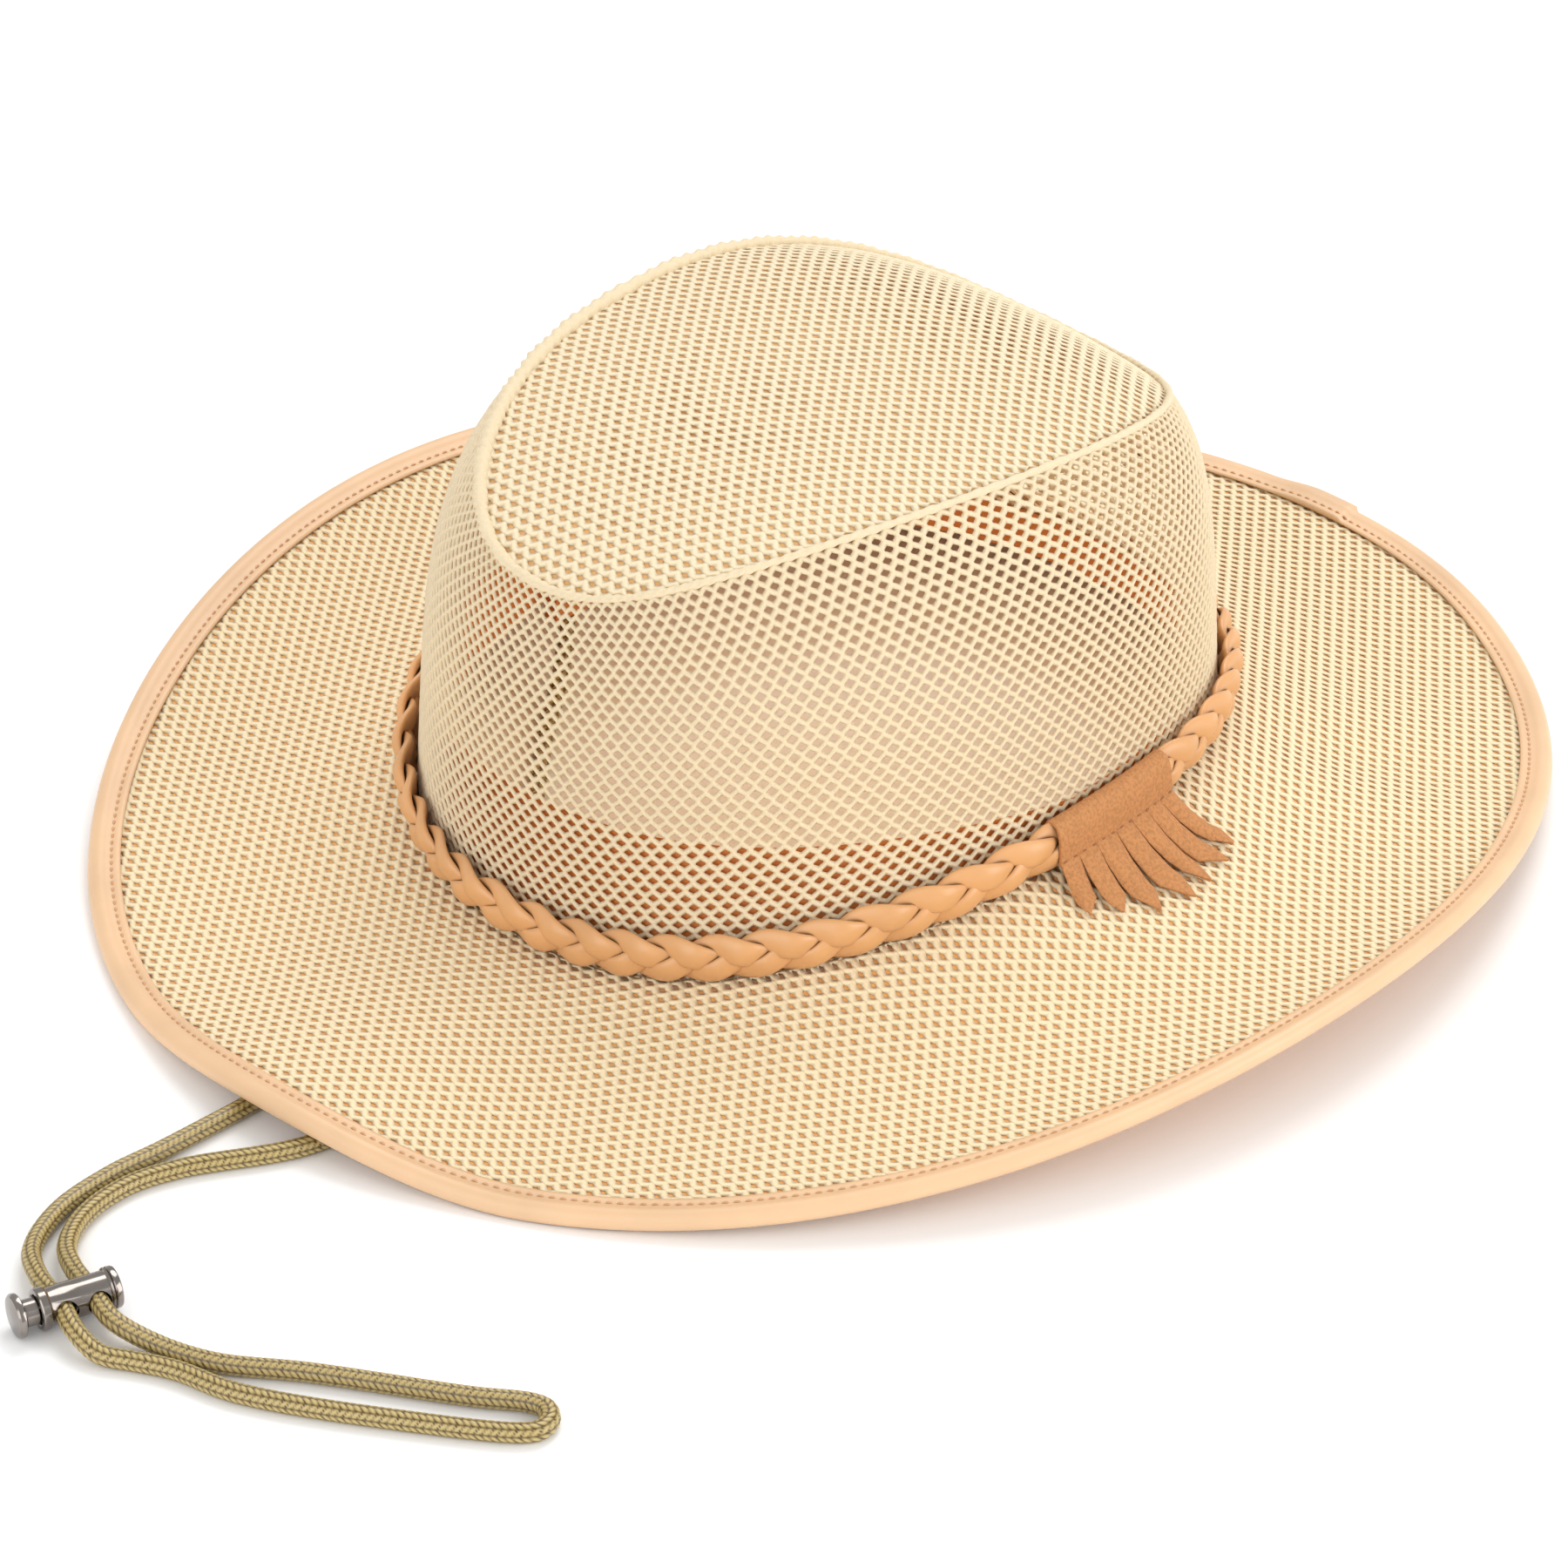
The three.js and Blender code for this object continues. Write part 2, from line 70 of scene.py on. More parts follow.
# Brim and crown
WALL = 0.0014
WALL_LEAN = 0.3
WALL_CURL = 5
BRIM_SIDE_DIP = 0.005
REST_HEIGHT = 0.0021
CORD_LIFT = 0.006
CORD_LIFT_ANGLE = math.radians(86.6)
CORD_LIFT_REACH = math.radians(24)
SEAM_RIDGE = 0.0009
SEAM_FULLER = 0.001
SEAM_FULL_AT = math.radians(165)
TOP_PEAK = Vector((0.0, 0.004, 0.121))
TOP_FULLNESS = 3
TOP_INSET = 0.0014
# Soft folds of the brim: degrees round it, height in millimetres and degrees
# to each side
BRIM_FOLDS = [(-33, 1.1, 5), (-42, -0.8, 5), (-52, 0.8, 6), (62, 0.6, 8), (128, 0.7, 8), (148, -0.6, 8)]

# Layers of the top panel and of the brim, as heights above the cloth's middle,
# and how far each stops from its border
TOP_NET_HEIGHT = 0.35 * MM
TOP_NET_REACH = 1.02
TOP_NET_HEM = 1.012
TOP_BACKING_UPPER = 0.2 * MM
TOP_BACKING_LOWER = -0.6 * MM
BRIM_NET_HEIGHT = 0.4 * MM
BRIM_NET_FROM_EDGE = 3.2 * MM
BRIM_HEM_FROM_EDGE = 4.4 * MM
BRIM_HEM_FROM_CROWN = 0.5 * MM
BRIM_BACKING_UPPER = 0.15 * MM
BRIM_BACKING_LOWER = -0.8 * MM
BRIM_BACKING_INSET = 0.6 * MM

# Binding: its section, as millimetres in from the brim's edge and above the
# brim's middle, has its inside and underside, a round roll and its upper side
BINDING_UNDER = [(6.2, 1.2), (1.6, 1.2), (1.6, -1.2), (6.2, -1.2), (6.3, -1.7), (6.1, -2.0), (4.4, -2.0)]
BINDING_ROLL = 2.6
BINDING_ROLL_MIDDLE = 1.0
BINDING_UPPER = [(4.0, 1.5), (4.6, 1.75), (5.4, 1.85), (6.1, 1.65)]
BINDING_UPPER_FROM = 1.4 * MM
STITCHES_FROM_EDGE = 4.0 * MM
STITCHES_HEIGHT = 1.66 * MM
STITCH_LINE_LENGTH = 1.05
STITCH_RADIUS = 0.3 * MM
STITCH_SIDES = 6
# Stations along a stitch: shares of its length from its middle, of its
# thickness, and of its radius above the leather
STITCH_STATIONS = [(-0.5, 0.3, -0.6), (-0.3, 0.9, 0.0), (0.0, 1.0, 0.35), (0.3, 0.9, 0.0), (0.5, 0.3, -0.6)]

# Overlap of the binding's ends behind
LAP_FROM = math.radians(262)
LAP_TO = math.radians(271.2)
LAP_EASE = math.radians(5)
LAP_STEP = 0.003
LAP_RISE = 0.0008

# Braid: three thongs that swing up and down across the band
BRAID_PERIODS = 17
BRAID_SWING = 0.0033
BRAID_WEAVE = 0.00135
BRAID_OUT = 0.0037
BRAID_ROUND = 32  # per metre, how far the braid curves back above and below
BRAID_PROUD = 0.002  # above its middle, where the braid stands out most
BRAID_UP = 0.0072

# Fringe: its wrap's section, as millimetres out from the wall and above the brim
WRAP_FROM = math.radians(6.6)
WRAP_TO = math.radians(-12.6)
WRAP_PATH = [(1.2, 12.2), (2.6, 13.6), (4.6, 13.2), (5.8, 10.8), (6.2, 7.4), (6.3, 3.4)]
# Height of a tail above the brim at shares of its length, in millimetres
TAIL_HEIGHTS = [(0.0, 6.9), (0.1, 6.1), (0.35, 3.9), (0.7, 2.2), (1.0, 1.7)]
TAIL_NARROWER = 0.14
TAIL_LONGER = 0.45
# Each tail's end on the ground plan, in millimetres: the corner in front, the
# point and the corner behind
TAILS = [
    ((96.2, -17.8), (99.2, -16.8), (97.4, -12.5)),
    ((100.4, -12.0), (103.2, -10.2), (100.7, -6.1)),
    ((101.2, -5.7), (106.6, -2.4), (102.9, 1.5)),
    ((102.8, 2.1), (108.0, 7.0), (103.7, 9.9)),
    ((102.4, 10.5), (106.7, 14.0), (102.3, 15.8)),
    ((101.9, 16.4), (103.9, 22.6), (100.0, 23.7)),
    ((98.3, 24.1), (100.8, 28.4), (97.0, 29.8)),
]

# Cord lock: where its middle lies, and the way its plunger presses
LOCK_MIDDLE = Vector((0.0312, -0.2568, 0.0052))
LOCK_TURN = math.radians(73.1)
LOCK_AXIS = Vector((math.cos(LOCK_TURN), math.sin(LOCK_TURN), 0.0))
LOCK_ACROSS = Vector((math.sin(LOCK_TURN), -math.cos(LOCK_TURN), 0.0))
LOCK_HOLE = 0.0027
LOCK_HOLE_OFFSET = 0.00375
LOCK_TRAVEL = 0.003
# Turned profiles of the lock, as millimetres out from its axis and along it
BARREL_PROFILE = [
    (0.05, 9.2), (4.0, 9.2), (4.5, 9.0), (4.7, 8.6), (4.7, 7.7), (4.45, 7.45), (4.7, 7.1),
    (4.55, 6.75), (4.2, 6.5), (4.2, 0.0), (4.2, -6.6), (4.35, -6.9), (4.7, -7.3), (4.7, -8.8),
    (4.5, -9.1), (4.2, -9.2), (3.6, -9.2), (3.35, -9.0), (3.35, 7.7), (0.05, 7.7),
]
PLUNGER_PROFILE = [
    (0.05, -14.8), (3.2, -14.75), (4.5, -14.5), (4.9, -14.1), (5.0, -13.6), (4.9, -13.0),
    (4.4, -12.65), (3.05, -12.5), (3.05, 4.2), (0.05, 4.2),
]
# The slot through the plunger that the cord passes
SLOT_END = 0.006
SLOT_WIDTH = 0.0092
SLOT_HEIGHT = 0.0052

# The cord, from its right anchor through the lock and back to the left one
CORD_ROUTE = [
    (-0.0782, -0.0133, 0.022), (-0.0762, -0.0185, 0.006), (-0.068, -0.03, 0.00235),
    (-0.026, -0.078, 0.00235), (-0.01, -0.108, 0.00235), (-0.0004, -0.162, 0.00235),
    (0.0004, -0.206, 0.00235), (-0.0004, -0.222, 0.00235), (0.0018, -0.238, 0.0025),
    (0.01, -0.252, 0.0036), (0.0202, -0.258, 0.005), (0.0301, -0.2604, 0.0052),
    (0.0396, -0.2638, 0.0046), (0.047, -0.2636, 0.0029), (0.0534, -0.2596, 0.00235),
    (0.0616, -0.2552, 0.00235), (0.0768, -0.2506, 0.00235), (0.1088, -0.2308, 0.00235),
    (0.1274, -0.2166, 0.00235), (0.1292, -0.2133, 0.00235), (0.1282, -0.2096, 0.00235),
    (0.1249, -0.2078, 0.00235), (0.1212, -0.2088, 0.00235), (0.1114, -0.2161, 0.00235),
    (0.0816, -0.2355, 0.00235), (0.066, -0.2472, 0.00235), (0.0535, -0.2525, 0.0027),
    (0.0416, -0.2556, 0.0046), (0.0323, -0.2532, 0.0052), (0.0224, -0.2506, 0.0049),
    (0.014, -0.2456, 0.0034), (0.0069, -0.2352, 0.0024), (0.005, -0.222, 0.00235),
    (0.0082, -0.2095, 0.00235), (0.0209, -0.1845, 0.00235), (0.024, -0.162, 0.00235),
    (0.032, -0.108, 0.00235), (0.07, -0.03, 0.00235), (0.0773, -0.0185, 0.0065),
    (0.0782, -0.0133, 0.022),
]
CORD_STEPS = 1900
# Its strands: the grains lean and swell along them, and each strand's back is
# round and stands out from the floor between strands, as shares of the radius
GRAIN_LEAN = 0.9
GRAIN_FULLNESS = 0.6
STRAND_ROUND = 0.85
STRAND_FLOOR = 0.9
STRAND_RISE = 0.12

# Camera at the photograph's place
CAMERA_PLACE = Vector((0.8893, -0.8941, 0.8362))
CAMERA_AZIMUTH = math.radians(45.376)
CAMERA_ELEVATION = math.radians(33.436)
CAMERA_ROLL = math.radians(0.474)
CAMERA_LENS = 145.1


def srgb(red, green, blue):
    """A display colour, 0 to 255, as linear RGBA"""
    levels = [level / 255 for level in (red, green, blue)]
    linear = [(v / 12.92) if v <= 0.04045 else ((v + 0.055) / 1.055) ** 2.4 for v in levels]
    return (*linear, 1.0)


def colour(name, description, default):
    return FloatVectorProperty(
        name=name, description=description, default=default, subtype="COLOR", size=4, min=0, max=1
    )


def length(name, description, default, smallest=0.0001):
    return FloatProperty(
        name=name, description=description, default=default, min=smallest, unit="LENGTH", precision=5
    )


def power(name, description, default):
    return FloatProperty(name=name, description=description, default=default, min=0, unit="POWER")


# Form of the hat


def ring_point(ring, angle):
    """Points of a ring at angles, with their height"""
    c = np.cos(angle)
    s = np.sin(angle)
    share = 2 / ring["power"]
    y = -ring["half_length"] * np.sign(s) * np.abs(s) ** share
    wider = 1 + ring["back_wider"] * y / ring["half_length"]
    x = ring["half_width"] * np.sign(c) * np.abs(c) ** share * wider
    waves = ring["sides"] * np.cos(2 * angle) + ring["quarters"] * np.cos(4 * angle)
    z = ring["height"] + ring["front"] * s + waves
    least = math.cos(DRAWN_IN_REACH)
    near = np.maximum(np.cos(angle - DRAWN_IN_AT) - least, 0) / (1 - least)
    kept = 1 - ring.get("drawn_in", 0.0) * near ** 2 / np.hypot(x, y)
    return np.stack([x * kept, y * kept + ring["y_shift"], z], -1)


def ring_normal(ring, angle):
    """Level directions that point out of a ring"""
    along = ring_point(ring, angle + 0.01) - ring_point(ring, angle - 0.01)
    normal = np.stack([-along[..., 1], along[..., 0], np.zeros_like(along[..., 0])], -1)
    return normal / np.linalg.norm(normal, axis=-1, keepdims=True)


def wall_point(part, angle, outward, lift=0.0):
    """Points of the crown's side wall: part 0 is the brim, 1 the seam"""
    part = np.asarray(part, float) + 0 * angle
    foot = ring_point(FOOT, angle)
    seam = ring_point(SEAM, angle)
    lean = WALL_LEAN * part + (1 - WALL_LEAN) * np.maximum(part, 0) ** WALL_CURL
    point = foot + (seam - foot) * lean[..., None]
    normal = ring_normal(FOOT, angle) * (1 - part[..., None])
    normal = normal + ring_normal(SEAM, angle) * part[..., None]
    normal = normal / np.linalg.norm(normal, axis=-1, keepdims=True)
    point = point + normal * (np.asarray(outward, float) + 0 * angle)[..., None]
    point[..., 2] = foot[..., 2] + (seam[..., 2] - foot[..., 2]) * part + lift
    return point


def edge_height(angle):
    """The brim's edge rests in front and behind and rides over the cord"""
    free = np.maximum(ring_point(EDGE, angle)[..., 2], REST_HEIGHT)
    share = np.minimum(np.abs(angle - CORD_LIFT_ANGLE) / CORD_LIFT_REACH, 1)
    return free + CORD_LIFT * np.cos(share * math.pi / 2) ** 2


def brim_inner(angle):
    return ring_point(FOOT, angle) + ring_normal(FOOT, angle) * WALL / 2


def brim_width(angle):
    across = (ring_point(EDGE, angle) - brim_inner(angle))[..., :2]
    return np.linalg.norm(across, axis=-1)


def brim_height(part, angle):
    """Height of the brim's middle at a share of the way out to its edge"""
    level = part * (2 - part)
    bulge = 4 * part * (1 - part)
    dip = BRIM_SIDE_DIP * np.maximum(np.cos(2 * angle), 0) * bulge
    for at, high, wide in BRIM_FOLDS:
        away = np.degrees(angle) - at
        away = np.abs(away - 360 * np.round(away / 360)) / wide
        dip = dip - high * MM * np.exp(-away ** 2) * bulge
    return brim_inner(angle)[..., 2] * (1 - level) + edge_height(angle) * level - dip


def brim_point(from_edge, angle, above):
    """Points of the brim at a distance in from its edge"""
    part = 1 - from_edge / brim_width(angle)
    inner = brim_inner(angle)
    point = inner + (ring_point(EDGE, angle) - inner) * part[..., None]
    point[..., 2] = np.maximum(brim_height(part, angle) + above, 0.0)
    return point


def settle(angle, miss):
    """Angles where miss is nothing, found from a first guess"""
    step = 1e-4
    for _ in range(12):
        here = miss(angle)
        slope = (miss(angle + step) - here) / step
        angle = angle - np.clip(here / slope, -0.15, 0.15)
    return np.mod(angle, TURN)


def brim_surface(x, y):
    """Points of the brim's middle above places on the ground"""
    guess = np.arctan2(-y / EDGE["half_length"], x / EDGE["half_width"])

    def miss(angle):
        inner = brim_inner(angle)
        line = ring_point(EDGE, angle) - inner
        return (x - inner[..., 0]) * line[..., 1] - (y - inner[..., 1]) * line[..., 0]

    angle = settle(guess, miss)
    inner = brim_inner(angle)
    line = (ring_point(EDGE, angle) - inner)[..., :2]
    away = np.stack([x, y], -1) - inner[..., :2]
    part = (away * line).sum(-1) / (line * line).sum(-1)
    return np.stack([x, y, brim_height(part, angle)], -1), part, angle


def top_rim(angle):
    return ring_point(SEAM, angle) - ring_normal(SEAM, angle) * TOP_INSET


def top_surface(x, y):
    """Points of the top panel's middle above places on the ground"""
    guess = np.arctan2(-(y - TOP_PEAK.y) / SEAM["half_length"], (x - TOP_PEAK.x) / SEAM["half_width"])

    def miss(angle):
        line = top_rim(angle) - np.array(TOP_PEAK)
        return (x - TOP_PEAK.x) * line[..., 1] - (y - TOP_PEAK.y) * line[..., 0]

    line = top_rim(settle(guess, miss)) - np.array(TOP_PEAK)
    reach = np.hypot(line[..., 0], line[..., 1])
    left = np.hypot(x - TOP_PEAK.x, y - TOP_PEAK.y) / reach
    return np.stack([x, y, TOP_PEAK.z + line[..., 2] * left ** TOP_FULLNESS], -1), left


# Tools for making pieces


def clear_selection():
    if bpy.context.mode != "OBJECT":
        bpy.ops.object.mode_set(mode="OBJECT")
    bpy.ops.object.select_all(action="DESELECT")


def choose(piece):
    clear_selection()
    piece.select_set(True)
    bpy.context.view_layer.objects.active = piece


def face_out(piece, merge=0.0):
    choose(piece)
    bpy.ops.object.mode_set(mode="EDIT")
    bpy.ops.mesh.select_all(action="SELECT")
    if merge:
        bpy.ops.mesh.remove_doubles(threshold=merge)
    bpy.ops.mesh.normals_make_consistent(inside=False)
    bpy.ops.object.mode_set(mode="OBJECT")


def smooth(piece, angle=None):
    choose(piece)
    if angle is None:
        bpy.ops.object.shade_smooth()
    else:
        bpy.ops.object.shade_smooth_by_angle(angle=angle)


def hand_over(piece, material, replaced=(), body=BODY):
    """The piece takes its material, rides on a body and stands for CAD nodes"""
    piece.data.materials.clear()
    piece.data.materials.append(material)
    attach(piece, body)
    if replaced:
        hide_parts(*replaced)
    return piece


def place_all(piece, points):
    piece.data.vertices.foreach_set("co", np.asarray(points, np.float32).ravel())
    piece.data.update()


def grid_shares(piece):
    """Shares across and along of a new grid's corners"""
    flat = np.zeros(len(piece.data.vertices) * 3)
    piece.data.vertices.foreach_get("co", flat)
    flat = flat.reshape(-1, 3)
    return flat[:, 0] + 0.5, flat[:, 1] + 0.5


def new_grid(name, columns, rows):
    clear_selection()
    bpy.ops.mesh.primitive_grid_add(x_subdivisions=columns, y_subdivisions=rows, size=1)
    piece = bpy.context.object
    piece.name = name
    return piece


def ring_piece(name, section, steps, place):
    """A grid rolled into a tube whose section is carried round the hat by place"""
    piece = new_grid(name, steps, len(section))
    section = np.asarray(section, float)
    across, along = grid_shares(piece)
    angle = np.round(across * steps) % steps * TURN / steps
    corner = np.round(along * len(section)).astype(int) % len(section)
    place_all(piece, place(angle, section[corner, 0], section[corner, 1]))
    face_out(piece, 0.002 * MM)
    smooth(piece)
    return piece


def apply_modifier(piece, kind, **settings):
    choose(piece)
    modifier = piece.modifiers.new(kind.title(), kind)
    for key, value in settings.items():
        setattr(modifier, key, value)
    bpy.ops.object.modifier_apply(modifier=modifier.name)


def sheet_piece(name, columns, rows, place, thickness):
    """A grid laid out by place and given a thickness to both sides"""
    piece = new_grid(name, columns, rows)
    place_all(piece, place(*grid_shares(piece)))
    apply_modifier(piece, "SOLIDIFY", thickness=thickness, offset=0, use_even_offset=True)
    face_out(piece)
    apply_modifier(piece, "BEVEL", width=thickness * 0.3, segments=2, limit_method="ANGLE",
                   angle_limit=math.radians(50))
    smooth(piece, math.radians(60))
    return piece


def mesh_piece(name, points, faces):
    mesh = bpy.data.meshes.new(name)
    mesh.from_pydata(np.asarray(points, float).tolist(), [], faces)
    mesh.update()
    piece = bpy.data.objects.new(name, mesh)
    bpy.context.scene.collection.objects.link(piece)
    mesh.polygons.foreach_set("use_smooth", [True] * len(mesh.polygons))
    return piece


def smooth_curve(points, steps=24):
    """A curve through points, the same as the part's cord follows"""
    points = np.asarray(points, float)
    ends = [2 * points[0] - points[1]], points, [2 * points[-1] - points[-2]]
    points = np.concatenate(ends)
    share = np.linspace(0, 1, steps, endpoint=False)[:, None]
    curve = []
    for a, b, c, d in zip(points[:-3], points[1:-2], points[2:-1], points[3:]):
        before, within, after = (math.sqrt(np.linalg.norm(q - p)) for p, q in ((a, b), (b, c), (c, d)))
        enter = ((b - a) / before - (c - a) / (before + within) + (c - b) / within) * within
        leave = ((c - b) / within - (d - b) / (within + after) + (d - c) / after) * within
        square = share ** 2
        cube = share ** 3
        curve.append(
            (2 * cube - 3 * square + 1) * b
            + (cube - 2 * square + share) * enter
            + (3 * square - 2 * cube) * c
            + (cube - square) * leave
        )
    return np.concatenate([*curve, points[-2:-1]])


def lengths_along(curve):
    """Distances of a curve's points from its start, along it"""
    spans = np.linalg.norm(np.diff(curve, axis=0), axis=1)
    return np.concatenate([[0], np.cumsum(spans)])


def even_steps(curve, count):
    """Points at even distances along a curve, and their distance from its start"""
    along = lengths_along(curve)
    places = np.linspace(0, along[-1], count)
    return np.stack([np.interp(places, along, axis) for axis in curve.T], -1), places


def stitch_piece(name, middles, reach, radius):
    """Small rounded stitches along a line, as one mesh"""
    along = np.gradient(middles, axis=0)
    along /= np.linalg.norm(along, axis=1, keepdims=True)
    up = np.array([0.0, 0.0, 1.0])
    across = np.cross(along, up)
    across /= np.linalg.norm(across, axis=1, keepdims=True)
    points = []
    for share, size, rise in STITCH_STATIONS:
        centre = middles + along * reach * share + up * radius * rise
        for turn in np.arange(STITCH_SIDES) * TURN / STITCH_SIDES:
            offset = across * math.cos(turn) + up * math.sin(turn)
            points.append(centre + offset * radius * size)
    points = np.stack(points, 1)
    last = STITCH_SIDES * (len(STITCH_STATIONS) - 1)
    pattern = [tuple(range(STITCH_SIDES))[::-1], tuple(range(last, last + STITCH_SIDES))]
    for k in range(0, last, STITCH_SIDES):
        for j in range(STITCH_SIDES):
            a, b = k + j, k + (j + 1) % STITCH_SIDES
            pattern.append((a, b, b + STITCH_SIDES, a + STITCH_SIDES))
    faces = []
    for first in range(0, points.shape[0] * points.shape[1], points.shape[1]):
        faces.extend([tuple(first + k for k in face) for face in pattern])
    piece = mesh_piece(name, points.reshape(-1, 3), faces)
    face_out(piece)
    return piece


# Net

# Corners of a cell, in half columns and in half rows from its middle; a corner
# is shared by the cells that meet there
CORNERS = [(1, 0), (1, 1), (0, 2), (-1, 1), (-1, 0), (0, -1)]
CORNER_SHARE = 0.16  # of a row, by which the side corners of a cell stand apart
HOLE_BEVEL = 0.22  # of half a hole's height, up to each corner beside its middle
YARN_UNEVEN = 0.12  # of the yarn's depth
YARN_WAVES = (2900, 1700, 2300)  # radians in a metre, along, up and up alone
NORMAL_REACH = 0.4 * MM


def net_piece(name, cells, settings, hole, yarn, surface, guide, middle, hem, halves=None):
    """Net of six-sided cells. The yarn's crest runs along the shared corners,
    in front and behind, and a ring round each hole lies at half its depth.
    hole is the width and height of a hole and yarn the net's thickness. surface
    gives the point for places in the net's plane, guide the rough direction that
    is out, and hem moves places past the net's border onto it."""
    column = settings.column
    row = settings.row
    spread = CORNER_SHARE * row
    cells = np.asarray(cells)
    half = cells[:, :1] + np.array([[dx for dx, _ in CORNERS]])
    code = 2 * cells[:, 1:] + np.array([[dr for _, dr in CORNERS]])
    if halves:
        half = half % halves
    span = 4 * (abs(code).max() + 2)
    keys, corner = np.unique(half.ravel() * span + code.ravel() + span // 2, return_inverse=True)
    corner = corner.reshape(half.shape)
    key_half = keys // span
    key_code = keys - key_half * span - span // 2
    crest_u = key_half * column / 2
    crest_v = (key_code // 2) * row + np.where(key_code % 2 == 1, spread, -spread)
    side, top = hole[0] / 2, hole[1] / 2
    bevel = top * HOLE_BEVEL
    rim = np.array([(side, -bevel), (side, bevel), (0, top), (-side, bevel), (-side, -bevel), (0, -top)])
    hole_u = (cells[:, :1] * column / 2 + rim[:, 0]).ravel()
    hole_v = (cells[:, 1:] * row + rim[:, 1]).ravel()

    def lifted(u, v, lift):
        u, v = hem(u, v)
        point = surface(u, v)
        along = surface(u + NORMAL_REACH, v) - surface(u - NORMAL_REACH, v)
        up = surface(u, v + NORMAL_REACH) - surface(u, v - NORMAL_REACH)
        normal = np.cross(along, up)
        normal /= np.linalg.norm(normal, axis=-1, keepdims=True)
        normal *= np.sign((normal * guide(point)).sum(-1, keepdims=True))
        return point + normal * lift

    depth = yarn / 2
    along, up, up_alone = YARN_WAVES
    uneven = 1 + YARN_UNEVEN * np.sin(crest_u * along + crest_v * up) * np.sin(crest_v * up_alone)
    front = lifted(crest_u, crest_v, middle + (depth * uneven)[:, None])
    back = lifted(crest_u, crest_v, middle - depth)
    holes = lifted(hole_u, hole_v, middle)
    points = np.concatenate([front, back, holes])
    behind = len(front)
    first_hole = 2 * len(front)
    ring = first_hole + np.arange(len(cells) * 6).reshape(-1, 6)
    after = np.roll(corner, -1, axis=1)
    ring_after = np.roll(ring, -1, axis=1)
    over = np.stack([corner, after, ring_after, ring], -1).reshape(-1, 4)
    under = np.stack([after + behind, corner + behind, ring, ring_after], -1).reshape(-1, 4)
    sides = np.stack([corner, after], -1).reshape(-1, 2)
    _, first, count = np.unique(
        np.sort(sides, axis=1), axis=0, return_index=True, return_counts=True
    )
    a, b = sides[first[count == 1]].T
    border = np.stack([b, a, a + behind, b + behind], -1)
    faces = np.concatenate([over, under, border])
    p, q, r, s = (points[faces[:, k]] for k in range(4))
    volume = (p * np.cross(q, r)).sum() + (p * np.cross(r, s)).sum()
    if volume < 0:
        faces = faces[:, ::-1]
    return mesh_piece(name, points, faces.tolist())


def straight_up(point):
    return np.array([0.0, 0.0, 1.0]) + 0 * point


def planar_cells(settings, reach_x, reach_y):
    """Cells of a flat staggered net, as half columns and rows"""
    rows = np.arange(-int(reach_y / settings.row), int(reach_y / settings.row) + 1)
    columns = np.arange(-int(reach_x / settings.column) - 1, int(reach_x / settings.column) + 2)
    return np.array([(2 * c + (r % 2), r) for r in rows for c in columns])


# Materials

WHITE = (1.0, 1.0, 1.0, 1.0)
# Painted shade for the lines along the rows of the flat nets
GROOVE_SHADE = (0.8, 0.77, 0.73, 1.0)
GRAIN_DEPTH = 0.0002
NAP_DEPTH = 0.0003
PROUD = "proud"
# A Mix node's colour sockets, which share their names with its other kinds
MIX_BASE = 6
MIX_SHADE = 7
MIX_RESULT = 2


def new_material(name, base, roughness, metallic=0.0, sheen=0.0):
    material = bpy.data.materials.new(name)
    material.use_nodes = True
    shader = material.node_tree.nodes["Principled BSDF"]
    shader.inputs["Base Color"].default_value = base
    shader.inputs["Roughness"].default_value = roughness
    shader.inputs["Metallic"].default_value = metallic
    if sheen:
        shader.inputs["Sheen Weight"].default_value = sheen
        shader.inputs["Sheen Roughness"].default_value = 0.5
    return material


def add_node(material, kind, inputs):
    """A node of a material, whose inputs take values or other nodes' outputs"""
    node = material.node_tree.nodes.new("ShaderNode" + kind)
    feed(material, node, inputs)
    return node


def feed(material, node, inputs):
    for name, value in inputs.items():
        if isinstance(value, bpy.types.NodeSocket):
            material.node_tree.links.new(value, node.inputs[name])
        else:
            node.inputs[name].default_value = value


def feed_shader(material, name, output):
    feed(material, material.node_tree.nodes["Principled BSDF"], {name: output})


def object_place(material):
    return add_node(material, "TexCoord", {}).outputs["Object"]


def add_noise(material, scale, detail=3.0):
    inputs = {"Vector": object_place(material), "Scale": scale, "Detail": detail}
    return add_node(material, "TexNoise", inputs).outputs["Fac"]


def add_ramp(material, factor, low, dark, high, light):
    """The colour that factor picks between dark at low and light at high"""
    ramp = add_node(material, "ValToRGB", {"Fac": factor})
    for stop, place, tint in zip(ramp.color_ramp.elements, (low, high), (dark, light)):
        stop.position = place
        stop.color = tint
    return ramp.outputs["Color"]


def add_bump(material, noise, strength, distance):
    inputs = {"Height": noise, "Strength": strength, "Distance": distance}
    feed_shader(material, "Normal", add_node(material, "Bump", inputs).outputs["Normal"])


def add_mottle(material, noise, dark, light, low=0.3, high=0.7):
    """The noise turns the base colour from dark to light"""
    feed_shader(material, "Base Color", add_ramp(material, noise, low, dark, high, light))


def multiply_base(material, shade):
    """The base colour, which a node gives, is multiplied by a shade"""
    base = material.node_tree.nodes["Principled BSDF"].inputs["Base Color"].links[0].from_socket
    mix = add_node(material, "Mix", {})
    mix.data_type = "RGBA"
    mix.blend_type = "MULTIPLY"
    feed(material, mix, {"Factor": 1.0, MIX_BASE: base, MIX_SHADE: shade})
    feed_shader(material, "Base Color", mix.outputs[MIX_RESULT])


def add_math(material, operation, value, by):
    node = add_node(material, "Math", {0: value, 1: by})
    node.operation = operation
    return node.outputs["Value"]


